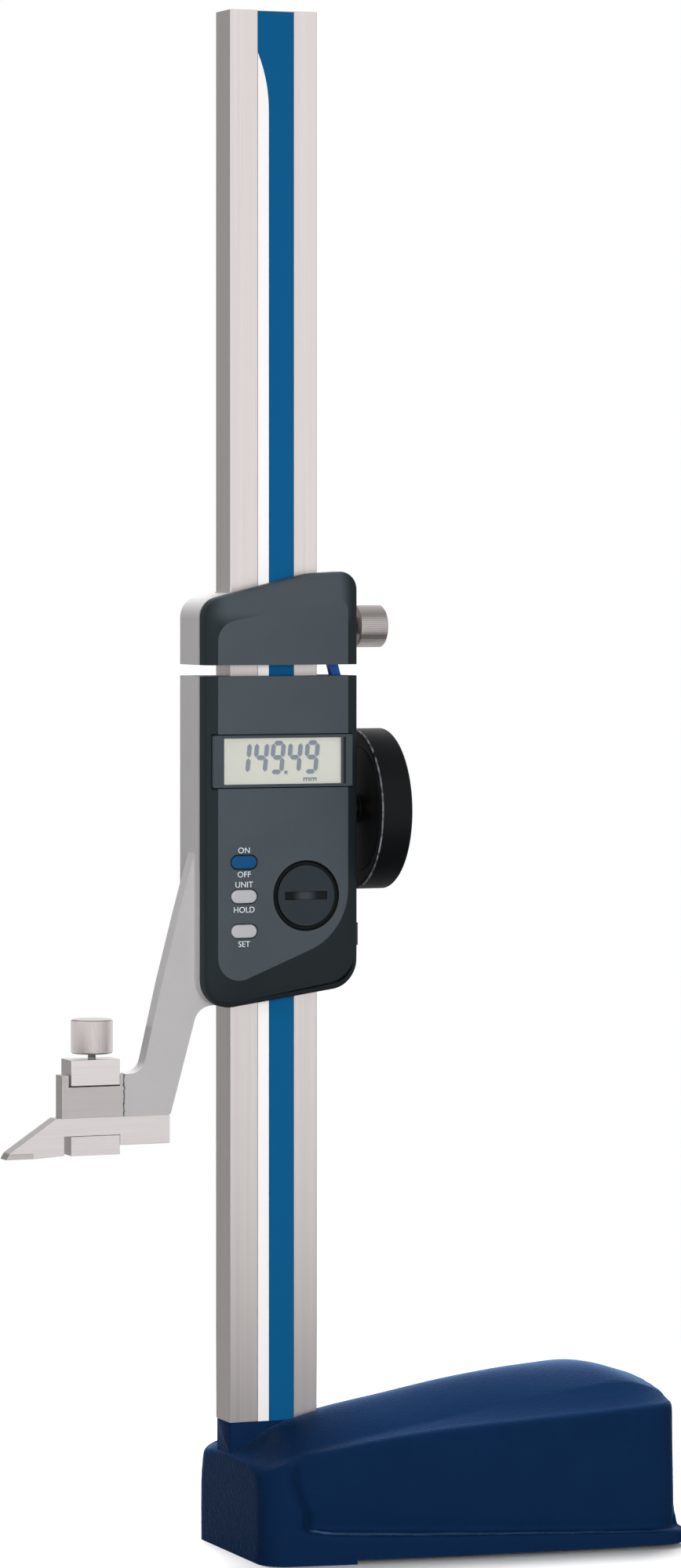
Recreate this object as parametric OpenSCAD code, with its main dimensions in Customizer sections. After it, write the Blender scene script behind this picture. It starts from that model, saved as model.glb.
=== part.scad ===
// Digital height gauge: base, column, measuring slider with scriber, clamp carriage and fine feed.
// The origin is on the ground under the column's axis. +X runs along the base, -Y is the display side.

/* [Measuring] */
// Height from the ground to the scriber's measuring edge
reading = 149.49; // [0:0.01:350]
// Gap between the slider and the clamp carriage
feed_gap = 4.2; // [4:0.1:5]

/* [Column] */
// Width of the column
column_w = 35; // [34:0.5:35]
// Depth of the column
column_d = 15.4; // [15:0.1:15.4]
// Height of the column's top above the ground
column_top = 578; // [574:1:700]
// Height of the boss that the column stands on
boss_top = 48; // [46:1:52]

/* [Base] */
// Overall length of the base
base_len = 164.5; // [150:0.5:200]
// Half width of the foot at the column end
foot_half = 37.8; // [34:0.1:44]
// How far the base's centre line lies in front of the column's axis
base_shift = 9.3; // [8:0.1:10]
// Height of the crown at its highest point
crown_top = 61; // [58:1:66]

/* [Slider] */
// Half width of the slider and the carriage
slider_half = 30.3; // [30.3:0.1:32]
// Depth of the painted casting in front of the column's axis
casting_front = 8.3; // [8.3:0.1:8.6]
// Depth of the painted casting behind the column's axis
casting_back = 11.8; // [11.8:0.1:13]
// Wall of the moulded covers
cover_wall = 1.8; // [1.5:0.1:2]

/* [Handwheel and knobs] */
// Diameter of the handwheel
wheel_d = 60.4; // [56:0.1:62]
// Diameter of the clamp knob
clamp_knob_d = 15.8; // [13:0.1:17]
// Diameter of the scriber clamp's knob
scriber_knob_d = 15.6; // [13:0.1:16]

/* [Hidden] */
fine = 64;
eps = 0.01;

// Planes of the slider, front to back
panel_face = -16.9;
cover_edge = -15.2;
body_front = -casting_front;
body_back = casting_back;
plate_front = body_front - 1;
board_front = plate_front - 1.2;
slide_gap = 0.15;
channel_half = column_w / 2 + slide_gap;
channel_back = column_d / 2 + 1.25;

// Heights above the measuring edge
slider_low = 53.2;
slider_high = 178.5;
carriage_low = slider_high + feed_gap;
carriage_high = carriage_low + 35.3;

// Handwheel shaft, rack and pinion
shaft_y = -0.9;
shaft_h = 127.7;
shaft_r = 2.5;
shaft_thin = 1.8;
shaft_step = 28.5;
wheel_in = 36;
wheel_out = 46.6;
tooth_module = 0.5;
pinion_teeth = 12;
pinion_r = tooth_module * pinion_teeth / 2;
pressure_angle = 25;
tooth_reach = 0.45;
tooth_root = 0.62;
backlash = 0.12;
rack_pitch = PI * tooth_module;
rack_left = 25;
rack_right = 28.6;
pocket_left = 24.6;
pocket_right = 29;
link_lean = 1.4;
rack_line = shaft_y - pinion_r;
link_x = (rack_left + rack_right) / 2 - link_lean;

// Clamp screw of the carriage
clamp_h = carriage_low + 14.1;
clamp_r = 2.5;
shoe_r = 3;
shoe_len = 3;

// Jaw, scriber and stirrup
jaw_front = -3.8;
jaw_back = 3.2;
jaw_left = -82.8;
jaw_top = 30.4;
jaw_low = 14.6;
notch_floor = 26;
stirrup_left = -79.2;
stirrup_right = -60;
stirrup_back = 7.4;
stirrup_low = 0.55;
stirrup_top = 36;
stirrup_screw = [-69.6, 0.4];
scriber_screw_r = 1.6;
tip_x = -104.6;

// Keys, battery and display on the front
key_x = -15.5;
key_heights = [109.1, 96.3, 83.3];
key_len = 10.1;
key_wid = 4.9;
key_play = 0.2;
cell_x = 9.5;
cell_h = 96.1;
cell_r = 10;
cell_front = -15;
cell_tall = 3.1;
lid_r = 11.4;
bezel_half = 28;
bezel_low = 137;
bezel_high = 156.5;
bezel_sink = 0.9;
window_half = 24.2;
window_rim = 0.4;
glass_front = -15.7;
glass_back = -13.7;
glass_half = 24.3;
view_half = 23.6;
view_low = 138.1;
view_high = 155.4;
port_low = 76.8;
port_high = 85.4;

// Screws: [x, height] of the slider cover, the carriage cover, the front plate and the gib
cover_fix = [[-25.8, 173.5], [21.2, 173.5], [-25.8, 72], [21.2, 69]];
carriage_fix = [[-25.4, 8], [21.2, 5.5], [21.2, 27]];
plate_fix = [[-21, 163], [21, 163], [-21, 118], [21, 90]];
gib_heights = [75, 116, 157];

// A corner of an outline rounded to radius r; r of 0 keeps it sharp
function corner(a, b, c, r, n = 7) =
    r == 0 ? [b] :
    let(u = (a - b) / norm(a - b), v = (c - b) / norm(c - b),
        half = acos(u * v) / 2,
        m = (u + v) / norm(u + v),
        centre = b + m * r / sin(half),
        from = atan2((b + u * r / tan(half) - centre)[1], (b + u * r / tan(half) - centre)[0]),
        to = atan2((b + v * r / tan(half) - centre)[1], (b + v * r / tan(half) - centre)[0]),
        turn = to - from > 180 ? to - from - 360 : to - from < -180 ? to - from + 360 : to - from)
    [for (i = [0:n]) centre + r * [cos(from + turn * i / n), sin(from + turn * i / n)]];

// An outline given as [x, y, corner radius]
module outline(points, n = 7) {
    count = len(points);
    flat = [for (p = points) [p[0], p[1]]];
    polygon([for (i = [0:count - 1])
        each corner(flat[(i + count - 1) % count], flat[i], flat[(i + 1) % count], points[i][2], n)]);
}

// A front-view outline (x, height) carried from depth y0 back to y1
module through(y0, y1) {
    translate([0, y1, 0]) rotate([90, 0, 0]) linear_extrude(y1 - y0) children();
}

// A side-view outline (y, height) carried from x0 to x1
module across(x0, x1) {
    translate([x0, 0, 0]) rotate([90, 0, 90]) linear_extrude(x1 - x0) children();
}

// A round bar along X, from x0 to x1
module bar_x(r, x0, x1, y, h) {
    translate([x0, y, h]) rotate([0, 90, 0]) cylinder(r = r, h = x1 - x0, $fn = fine);
}

// A round bar along Y, from y0 to y1
module bar_y(r, x, h, y0, y1) {
    translate([x, y0, h]) rotate([-90, 0, 0]) cylinder(r = r, h = y1 - y0, $fn = fine);
}

module block(x0, x1, y0, y1, h0, h1) {
    translate([x0, y0, h0]) cube([x1 - x0, y1 - y0, h1 - h0]);
}

// A slot with round ends, centred on [x, h], in the front view
module slot_shape(len, wid) {
    square([len - wid, wid], center = true);
    for (side = [-1, 1]) translate([side * (len - wid) / 2, 0]) circle(d = wid, $fn = 32);
}

// Everything that travels with the reading is drawn from the measuring edge upwards
module at_reading() {
    translate([0, 0, reading]) children();
}

// Base casting

base_left = -column_w / 2;
base_right = base_left + base_len;
body_right = base_right - 2.5;
crown_x = base_right - 20;
left_round = 9;
right_round = 13;
pad_len = 33.2;
pad_relief = 1.7;

// Half width of the foot along the base: it spreads towards the far end
function foot_width(x) =
    let(t = (x - base_left) / base_len) foot_half + 31 * t - 12.6 * t * t;

// Loss of half width where a plan corner of radius r is rounded, d from the end
function round_loss(d, r) = d >= r ? 0 : r - sqrt(max(0, r * r - (r - d) * (r - d)));

// Smooth step from 0 to 1
function ease(t) = let(c = min(1, max(0, t))) c * c * (3 - 2 * c);

function plan_half(x, right) =
    foot_width(x) - round_loss(x - base_left, left_round) - round_loss(right - x, right_round);

// The crown rises from the column end to crown_x, then falls to the far end
function ridge(x) =
    x < crown_x ? 35.3 + (crown_top - 35.3) * sin(90 * (x - base_left) / (crown_x - base_left))
                : crown_top - 0.62 * (x - crown_x) * ease((x - crown_x) / 4 + 0.5);
function crown_drop(x) = x < 0 || x > crown_x ? 0 : 6 * sin(180 * x / crown_x);
function crown_edge(x) = ridge(x) - crown_drop(x);
function side_edge(x) = min(crown_edge(x) - 0.7, 39.6 + 0.088 * x);

// The grip hollow starts behind the corner pillar; its front wall leans
function hollow(x, h) = ease((x + 13 - 0.33 * (42 - h)) / 9) * (6.4 - 0.017 * (x - base_left));
function ledge_high(x) = 20.4 - 0.078 * (x - 4.5);
function ledge_low(x) = 11.4 - 0.02 * (x - base_left);

// Half section of the casting at x: up the foot, over the ledge, up the side and in to the ridge
function section_half(x) =
    let(w = plan_half(x, body_right), foot = plan_half(x, base_right),
        crown_w = min(26 + 0.035 * (x - base_left), w - 9),
        top = ridge(x) + 0.4, edge = crown_edge(x), side = side_edge(x),
        low = ledge_high(x), shoulder = w - 0.85 * hollow(x, side) - 5.6)
    concat([[foot - 0.2, 0], [foot, ledge_low(x)],
            [w - 0.12 * hollow(x, low) - 0.04, ledge_low(x) + 0.12 * (low - ledge_low(x))]],
        [for (i = [0:6]) let(h = low + (side - 3.4 - low) * i / 6)
            [w - hollow(x, h) - 0.1 - 2.1 * ease((h - low) / (side - low)), h]],
        [for (i = [1:4]) let(a = 22.5 * i)
            [w - hollow(x, side) * (1 - 0.15 * sin(a)) - 2.2 - 3.4 * (1 - cos(a)), side - 3.4 + 3.4 * sin(a)]],
        [for (i = [1:3]) let(t = i / 4)
            [shoulder + (crown_w - shoulder) * t, side + (edge - side) * (1 - pow(1 - t, 1.3))]],
        [for (i = [0:6]) let(t = 1 - i / 6) [crown_w * t, top - (top - edge) * pow(t, 2.2)]]);

// Half section of the foot alone, past the body's end wall, with as many points
function flange_half(x) =
    let(foot = plan_half(x, base_right), count = len(section_half(body_right)))
    concat([[foot - 0.2, 0], [foot, ledge_low(x)]],
        [for (i = [3:count]) [(foot - 0.3) * (count - i) / (count - 3), ledge_low(x) + 0.4]]);

// A whole section: the front half, then the back half in reverse, as points at x
function section(x) =
    let(half = x > body_right ? flange_half(x) : section_half(x))
    concat([for (p = half) [x, -base_shift - p[0], p[1]]],
        [for (i = [len(half) - 2:-1:0]) [x, -base_shift + half[i][0], half[i][1]]]);

// Stations along the base, closer together where the ends are round
stations = concat([for (a = [0:15:90]) base_left + left_round * (1 - cos(a))],
    [for (x = [base_left + left_round + 2:3:20]) x],
    [for (x = [25:6:body_right - right_round - 8]) x],
    [for (x = [body_right - right_round - 5:1.5:body_right - right_round - 1]) x],
    [for (a = [0:11.25:90]) body_right - right_round * (1 - sin(a))],
    [body_right + 0.15],
    [for (a = [60:10:90]) base_right - right_round * (1 - sin(a))]);

// A closed skin over a row of sections with equal numbers of points
module skin(sections) {
    rows = len(sections);
    ring = len(sections[0]);
    sides = [for (r = [0:rows - 2], i = [0:ring - 1]) let(j = (i + 1) % ring)
        each [[r * ring + i, (r + 1) * ring + j, (r + 1) * ring + i],
            [r * ring + i, r * ring + j, (r + 1) * ring + j]]];
    first = [for (i = [ring - 1:-1:0]) i];
    last = [for (i = [0:ring - 1]) (rows - 1) * ring + i];
    polyhedron(points = [for (s = sections) each s], faces = concat(sides, [first], [last]), convexity = 4);
}

module base_casting() {
    color("#1d3a6b") difference() {
        union() {
            skin([for (x = stations) section(x)]);
            block(base_left + 0.5, column_w / 2 - 0.5, -column_d / 2 + 0.5, column_d / 2 - 0.5, 20, boss_top);
        }
        difference() {
            block(base_left + pad_len, base_right + 1, -base_shift - 70, -base_shift + 70, -1, pad_relief);
            block(base_right - 34, base_right - 12, -base_shift - 40, -base_shift + 40, -2, pad_relief + 1);
        }
        for (side = [-1, 1]) translate([side * 9, 0, 0]) {
            translate([0, 0, -1]) cylinder(r = 6, h = 21, $fn = fine);
            cylinder(r = 3.3, h = boss_top + 1, $fn = fine);
        }
        for (side = [-1, 1]) translate([side * 14.5, 0, boss_top - 10]) cylinder(r = 1.5, h = 11, $fn = fine);
    }
}

// Column and scale

film_left = -6.45;
film_right = 8.1;
groove_floor = -column_d / 2 + 1;

module column() {
    edge = 0.4;
    color("#c9c6c0") difference() {
        translate([0, 0, boss_top]) linear_extrude(column_top - boss_top)
            outline([for (c = [[-1, -1], [1, -1], [1, 1], [-1, 1]])
                [c[0] * column_w / 2, c[1] * column_d / 2, edge]], 3);
        block(film_left - 0.05, film_right + 0.05, -column_d, groove_floor, boss_top - 1, column_top + 1);
        for (side = [-1, 1]) translate([side * 9, 0, boss_top - 1]) cylinder(r = 2.5, h = 19, $fn = fine);
        for (side = [-1, 1]) translate([side * 14.5, 0, boss_top - 1]) cylinder(r = 1.5, h = 11, $fn = fine);
    }
}

module scale_tape() {
    color("#3f6b45") block(film_left, film_right, groove_floor - 0.6, groove_floor, boss_top, column_top - 0.3);
}

module scale_film() {
    color("#115e92")
        block(film_left, film_right, groove_floor - 0.85, groove_floor - 0.6, boss_top, column_top - 0.3);
}

module column_screws() {
    color("#3a3c40") for (side = [-1, 1]) translate([side * 9, 0, 0]) difference() {
        union() {
            translate([0, 0, 14]) cylinder(r = 5, h = 6, $fn = fine);
            translate([0, 0, 20]) cylinder(r = 3, h = boss_top - 20, $fn = fine);
            translate([0, 0, boss_top]) cylinder(r = 2.5, h = 15, $fn = fine);
        }
        translate([0, 0, 13]) cylinder(r = 2.9, h = 4, $fn = 6);
    }
}

module column_pins() {
    color("#b9bbbd") for (side = [-1, 1])
        translate([side * 14.5, 0, boss_top - 9]) cylinder(r = 1.5, h = 18, $fn = fine);
}

// Outlines of the slider, its carriage and their raised panels, all [x, height above the measuring edge]

module slider_shape(inset = 0) {
    w = slider_half - inset;
    outline([[-w, slider_low + 1.02 * inset, max(1, 10 - inset)],
        [w, slider_low + 8.7 + 1.02 * inset, max(1, 11 - inset)],
        [w, slider_high - inset, 0], [-w, slider_high - inset, 0]], 9);
}

module slider_panel() {
    outline([[-25.7, 60.9, 8.5], [26.3, 82.6, 25], [26.3, slider_high, 0], [-25.7, slider_high, 0]], 9);
}

module carriage_shape(inset = 0) {
    w = slider_half - inset;
    top = carriage_high - 1.05 * inset;
    outline([[-w, carriage_low + inset, 0], [w, carriage_low + inset, 0], [w, top, max(1, 6.5 - inset)],
        [12, top - 1.1, 30], [-w, top - 11.4, max(1, 8 - inset)]], 9);
}

module carriage_panel() {
    outline([[-25.7, carriage_low, 0], [26.3, carriage_low, 0], [26.3, carriage_low + 25.4, 4.5],
        [-25.7, carriage_low + 15.1, 8]], 9);
}

// Slider casting with its arm and jaw

arm_points = [[-28.7, 118, 0], [-36.5, 90.1, 80], [-43.3, 64, 80], [-51.1, jaw_top, 6],
    [jaw_left, jaw_top, 0], [jaw_left, jaw_low, 0], [-39.9, jaw_low, 1.2], [-29, 54.3, 7],
    [-14, 56, 0], [-14, 118, 0]];

module channel(low, high) {
    block(-channel_half, channel_half, body_front - 1, channel_back, low - 1, high + 1);
}

module slider_body() {
    color("#aeada8") at_reading() difference() {
        union() {
            through(body_front, body_back) slider_shape();
            through(jaw_front, jaw_back) outline(arm_points);
        }
        channel(slider_low, slider_high);
        through(jaw_front - 1, jaw_back + 1)
            translate([-80.2, notch_floor]) square([20.3, jaw_top - notch_floor + 1]);
        block(pocket_left, pocket_right, body_front - 1, shaft_y + 0.4, shaft_h - 19, slider_high + 1);
        block(pocket_left - link_lean, pocket_right, -6, shaft_y + 0.4, slider_high - 7, slider_high + 1);
        bar_x(4.3, pocket_left, pocket_right, shaft_y, shaft_h);
        bar_x(4, channel_half - 1, pocket_left + eps, shaft_y, shaft_h);
        bar_x(4.5, pocket_right - eps, slider_half + 1, shaft_y, shaft_h);
        for (p = cover_fix) {
            bar_y(1.3, p[0], p[1], body_front - 1, body_back + 1);
            bar_y(2.6, p[0], p[1], body_back - 2.4, body_back + 1);
        }
        for (h = gib_heights) bar_y(1.5, 0, h, channel_back - 1, body_back + 1);
        for (p = plate_fix) bar_y(0.95, p[0], p[1], body_front - 1, body_front + 6);
    }
}

module gib_strip() {
    color("#b79a4c") at_reading() block(-11, 11, channel_back - 1.15, channel_back - 0.15, 64, 170);
}

module gib_screws() {
    color("#2e3033") at_reading() for (h = gib_heights) difference() {
        bar_y(1.5, 0, h, channel_back - 0.15, body_back - 0.3);
        translate([0, body_back - 1.8, h]) rotate([-90, 0, 0]) cylinder(r = 0.85, h = 2, $fn = 6);
    }
}

// Electronics

module front_plate() {
    color("#c4c3bd") at_reading() difference() {
        through(plate_front, body_front) slider_shape();
        block(-13, 13, plate_front - 1, body_front + 1, 92, 150);
        for (p = cover_fix) bar_y(1.2, p[0], p[1], plate_front - 1, body_front + 1);
        for (p = plate_fix) bar_y(1.2, p[0], p[1], plate_front - 1, body_front + 1);
        for (p = plate_fix) bar_y(1.9, p[0], p[1], plate_front - 1, plate_front + 0.5);
    }
}

module front_plate_screws() {
    color("#8d8f92") at_reading() for (p = plate_fix) {
        bar_y(0.95, p[0], p[1], body_front - 1, body_front + 5);
        bar_y(1.8, p[0], p[1], plate_front + 0.02, plate_front + 0.5);
    }
}

module reading_head() {
    color("#2f6b3c") at_reading() block(-12.5, 12.5, plate_front, plate_front + 1.3, 93, 149);
}

module circuit_board() {
    color("#2c6a3a") at_reading() through(board_front, plate_front)
        outline([[-22.8, 76, 1], [22.8, 76, 1], [22.8, 169, 1], [-22.8, 169, 1]], 3);
}

module contact_strips() {
    color("#c8c4bd") at_reading() for (h = [bezel_low + 1, bezel_high - 3])
        block(-22, 22, glass_back, board_front, h, h + 2);
}

module display_glass() {
    color("#b9bda9") at_reading()
        block(-glass_half, glass_half, glass_front, glass_back, bezel_low + 0.7, bezel_high - 0.7);
}

module key_switches() {
    color("#26282b") at_reading() for (h = key_heights) difference() {
        block(key_x - 3, key_x + 3, board_front - 1.8, board_front, h - 3, h + 3);
        bar_y(1.6, key_x, h, board_front - 2, board_front - 0.4);
    }
}

module battery() {
    color("#c6c7c8") at_reading() difference() {
        bar_y(cell_r, cell_x, cell_h, cell_front, cell_front + cell_tall);
        rotate_extrude_y(cell_x, cell_h, cell_front) translate([cell_r - 0.7, -eps]) square([1, 0.5]);
    }
}

// A ring turned about an axis along +Y, from depth y
module rotate_extrude_y(x, h, y) {
    translate([x, y, h]) rotate([-90, 0, 0]) rotate_extrude($fn = fine) children();
}

module battery_contact() {
    color("#c9b27c") at_reading() {
        block(cell_x - 7, cell_x + 7, board_front - 0.3, board_front, cell_h - 2, cell_h + 2);
        across(cell_x - 1.6, cell_x + 1.6)
            polygon([[board_front - 0.1, cell_h - 1.8], [board_front - 0.1, cell_h - 0.8], [-11.5, cell_h + 0.9],
                [-11.9, cell_h + 1.1], [-11.9, cell_h + 0.5]]);
    }
}

module data_connector() {
    color("#1d1f21") at_reading() difference() {
        block(19.5, 28.3, -14, board_front, port_low, port_high);
        block(22, 29, -13.2, -11.2, port_low + 1, port_high - 1);
    }
}

// Covers

module slider_cover() {
    rim = board_front + 1.2;
    color("#3c444d") at_reading() difference() {
        union() {
            difference() {
                union() {
                    through(cover_edge, plate_front) slider_shape();
                    hull() {
                        through(cover_edge - eps, cover_edge) slider_shape();
                        through(panel_face, panel_face + eps) slider_panel();
                    }
                }
                through(cover_edge, plate_front + 1) slider_shape(cover_wall);
            }
            for (p = cover_fix) bar_y(2.5, p[0], p[1], cover_edge - eps, plate_front);
            bar_y(lid_r + 1.6, cell_x, cell_h, cover_edge - eps, -11.9);
        }
        for (p = cover_fix) bar_y(0.9, p[0], p[1], cover_edge + 1, plate_front + 1);
        block(-bezel_half - 0.05, bezel_half + 0.05, panel_face - 1, panel_face + bezel_sink,
            bezel_low - 0.05, bezel_high + 0.05);
        block(-25.5, 25.5, panel_face - 1, cover_edge + 1, bezel_low + 0.6, bezel_high - 0.6);
        for (h = key_heights) through(panel_face - 1, cover_edge + 1) translate([key_x, h])
            slot_shape(key_len + 2 * key_play, key_wid + 2 * key_play);
        bar_y(lid_r + 0.1, cell_x, cell_h, panel_face - 1, cover_edge + 0.3);
        bar_y(cell_r + 0.3, cell_x, cell_h, cover_edge, rim);
        rotate_extrude_y(cell_x, cell_h, panel_face - 1) translate([lid_r, 0]) square([1.6, 1.6]);
        block(25, slider_half + 1, -14.2, board_front - 0.2, port_low - 0.2, port_high + 0.2);
    }
}

module cover_screws() {
    color("#2e3033") at_reading() for (p = cover_fix) difference() {
        union() {
            bar_y(2.3, p[0], p[1], body_back - 2.4, body_back - 0.6);
            bar_y(1.2, p[0], p[1], plate_front, body_back - 2.4);
            bar_y(0.9, p[0], p[1], -13.5, plate_front);
        }
        translate([p[0], body_back - 1.8, p[1]]) rotate([-90, 0, 0]) cylinder(r = 1.1, h = 2, $fn = 6);
    }
}

module display_bezel() {
    lip = panel_face - 0.6;
    back = panel_face + bezel_sink - 0.05;
    color("#434b54") at_reading() difference() {
        union() {
            through(lip, back) outline([for (c = [[-1, 0], [1, 0], [1, 1], [-1, 1]])
                [c[0] * bezel_half, c[1] == 0 ? bezel_low : bezel_high, 0.6]], 3);
            for (x = [-25.4, glass_half + 0.2]) block(x, x + 0.9, back - eps, cover_edge, bezel_low + 2, bezel_high - 2);
        }
        block(-view_half, view_half, lip - 1, back + 1, view_low, view_high);
        block(-window_half, window_half, panel_face + 0.2, back + 0.05, view_low - window_rim, view_high + window_rim);
    }
}

module display_window() {
    color("#dfe5e6", 0.4) at_reading() block(-window_half, window_half, panel_face + 0.2,
        panel_face + bezel_sink - 0.05, view_low - window_rim, view_high + window_rim);
}

module key(h) {
    at_reading() translate([key_x, 0, h]) {
        through(panel_face - 0.45, cover_edge + 0.1) slot_shape(key_len, key_wid);
        through(cover_edge + 0.1, cover_edge + 0.8) slot_shape(key_len + 1.4, key_wid + 1.4);
        bar_y(1.4, 0, 0, cover_edge + 0.8, board_front - 1.2);
    }
}

module key_on() {
    color("#1d4b87") key(key_heights[0]);
}

module key_unit() {
    color("#b5b6ba") key(key_heights[1]);
}

module key_set() {
    color("#b5b6ba") key(key_heights[2]);
}

module battery_cover() {
    slot_len = 16.9;
    slot_wid = 3;
    slot_deep = 1.2;
    coin_r = 60;
    color("#333a42") at_reading() difference() {
        bar_y(lid_r, cell_x, cell_h, panel_face, cover_edge + 0.1);
        intersection() {
            through(panel_face - 1, panel_face + 2) translate([cell_x, cell_h])
                square([slot_len, slot_wid], center = true);
            translate([cell_x, panel_face + slot_deep - coin_r, cell_h - slot_wid])
                cylinder(r = coin_r, h = 2 * slot_wid, $fn = 4 * fine);
        }
    }
}

module data_port_cover() {
    color("#2c3238") at_reading() {
        block(28.4, slider_half + 0.6, -14, board_front - 0.4, port_low, port_high);
        block(26.5, 28.4, -13, -11.4, port_low + 1.3, port_high - 1.3);
    }
}

// Handwheel and fine feed

module shaft_bushes() {
    color("#b8924a") at_reading() difference() {
        union() {
            bar_x(4, channel_half + 0.35, pocket_left, shaft_y, shaft_h);
            bar_x(4.5, pocket_right, slider_half, shaft_y, shaft_h);
            bar_x(7, slider_half, slider_half + 1.4, shaft_y, shaft_h);
            bar_x(5, slider_half + 1.4, 34.4, shaft_y, shaft_h);
        }
        bar_x(shaft_thin + 0.03, channel_half, pocket_left + 1, shaft_y, shaft_h);
        bar_x(shaft_r + 0.03, pocket_right - 1, wheel_out, shaft_y, shaft_h);
    }
}

module handwheel() {
    rim_in = wheel_d / 2 - 3.2;
    profile = [[shaft_r, 34.6], [7.5, 34.6], [8.5, 40], [22.5, 41], [24, 40.4], [rim_in - 1, 39.8], [rim_in, 36.6],
        [rim_in + 0.6, wheel_in], [wheel_d / 2 - 0.5, wheel_in], [wheel_d / 2, wheel_in + 0.5],
        [wheel_d / 2, wheel_out - 0.8], [wheel_d / 2 - 0.8, wheel_out], [rim_in, wheel_out], [rim_in - 2, 45.4],
        [9, 45], [8, 45.8], [shaft_r, 45.8]];
    color("#17191b") at_reading() translate([0, shaft_y, shaft_h]) rotate([0, 90, 0])
        rotate_extrude($fn = 96) polygon(profile);
}

module handwheel_shaft() {
    color("#b9bbbd") at_reading() difference() {
        union() {
            bar_x(shaft_thin, channel_half + 0.5, shaft_step, shaft_y, shaft_h);
            bar_x(shaft_r, shaft_step, 45.8, shaft_y, shaft_h);
        }
        bar_x(1.25, 37, 46, shaft_y, shaft_h);
    }
}

module handwheel_screw() {
    color("#2e3033") at_reading() translate([0, shaft_y, shaft_h]) difference() {
        union() {
            bar_x(1.25, 38, 45.8, 0, 0);
            bar_x(4.2, 45.8, 46.5, 0, 0);
        }
        translate([46.1, 0, 0]) rotate([0, 90, 0]) cylinder(r = 1.3, h = 1, $fn = 6);
    }
}

// Involute of a circle of radius rb, rolled through t degrees
function involute(rb, t) = rb * [cos(t) + t * PI / 180 * sin(t), sin(t) - t * PI / 180 * cos(t)];
function turned(p, a) = [p[0] * cos(a) - p[1] * sin(a), p[0] * sin(a) + p[1] * cos(a)];

// A pinion outline, one tooth centred on the first axis
module pinion_shape() {
    rb = pinion_r * cos(pressure_angle);
    tip = pinion_r + tooth_reach;
    root = pinion_r - tooth_root;
    roll_tip = sqrt(tip * tip / (rb * rb) - 1) * 180 / PI;
    polar_pitch = tan(pressure_angle) * 180 / PI - pressure_angle;
    half = 90 / pinion_teeth - backlash / 4 / pinion_r * 180 / PI;
    flank = [for (i = [0:4]) turned(involute(rb, roll_tip * i / 4), -half - polar_pitch)];
    mirrored = [for (i = [4:-1:0]) [flank[i][0], -flank[i][1]]];
    foot = turned([root, 0], -half - polar_pitch);
    tooth = concat([foot], flank, mirrored, [[foot[0], -foot[1]]]);
    polygon([for (k = [0:pinion_teeth - 1]) each [for (p = tooth) turned(p, k * 360 / pinion_teeth)]]);
}

module drive_pinion() {
    color("#a98d4a") at_reading() difference() {
        translate([rack_left + 0.1, shaft_y, shaft_h]) rotate([90, 0, 90]) linear_extrude(rack_right - rack_left - 0.2)
            rotate(180) pinion_shape();
        bar_x(shaft_thin, rack_left, rack_right, shaft_y, shaft_h);
    }
}

// One rack tooth, pointing back towards the pinion, centred on height h
module rack_tooth(h) {
    half = rack_pitch / 4 - backlash / 4;
    slope = tan(pressure_angle);
    polygon([[rack_line - tooth_root - 0.3, h - half - slope * tooth_root],
        [rack_line - tooth_root, h - half - slope * tooth_root], [rack_line + tooth_reach, h - half + slope * tooth_reach],
        [rack_line + tooth_reach, h + half - slope * tooth_reach], [rack_line - tooth_root, h + half + slope * tooth_root],
        [rack_line - tooth_root - 0.3, h + half + slope * tooth_root]]);
}

module link_rack() {
    back = rack_line - tooth_root;
    front = body_front + 0.5;
    top_front = -4.6;
    top_back = -1.4;
    color("#17508c") at_reading() difference() {
        union() {
            across(rack_left, rack_right) {
                polygon([[front, shaft_h - 14], [back, shaft_h - 14], [back, slider_high - 9],
                    [top_back, slider_high - 1], [top_front, slider_high - 1], [front, slider_high - 10]]);
                for (k = [-7:5]) rack_tooth(shaft_h + (k + 0.5) * rack_pitch);
            }
            hull() {
                block(rack_left, rack_right, top_front, top_back, slider_high - 1.1, slider_high - 1);
                block(rack_left - link_lean, rack_right - link_lean, top_front, top_back, carriage_low, carriage_low + 0.1);
            }
            block(rack_left - link_lean, rack_right - link_lean, top_front, top_back, carriage_low, carriage_low + 9.8);
        }
        bar_y(1.1, link_x, carriage_low + 6.2, top_front - 1, top_back + 1);
    }
}

module link_screw() {
    color("#8d8f92") at_reading() translate([0, 0, carriage_low + 6.2]) {
        bar_y(1.7, link_x, 0, -6.1, -4.6);
        bar_y(1.1, link_x, 0, -4.6, 4);
    }
}

// Clamp carriage

module clamp_body() {
    color("#aeada8") at_reading() difference() {
        through(body_front, body_back) carriage_shape();
        channel(carriage_low, carriage_high);
        block(rack_left - link_lean, rack_right - link_lean, body_front - 1, -1.4, carriage_low - 1, carriage_low + 9.8);
        bar_y(1.1, link_x, carriage_low + 6.2, -2, 4.5);
        bar_x(clamp_r + 0.05, channel_half - 1, slider_half + 1, 0, clamp_h);
        bar_x(shoe_r + 0.05, channel_half - 1, channel_half + 5, 0, clamp_h);
        for (p = carriage_fix) translate([0, 0, carriage_low]) {
            bar_y(1.3, p[0], p[1], body_front - 1, body_back + 1);
            bar_y(2.6, p[0], p[1], body_back - 2.4, body_back + 1);
        }
    }
}

module carriage_spring() {
    far = channel_back - 0.05;
    near = channel_back - 1.1;
    mid = carriage_low + 15;
    color("#c2a35a") at_reading() across(-9, 9)
        polygon([[far, mid - 12], [far, mid - 10], [near + 0.4, mid - 1], [near + 0.4, mid + 1], [far, mid + 10],
            [far, mid + 12], [far - 0.4, mid + 12], [near, mid + 1], [near, mid - 1], [far - 0.4, mid - 12]]);
}

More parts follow.
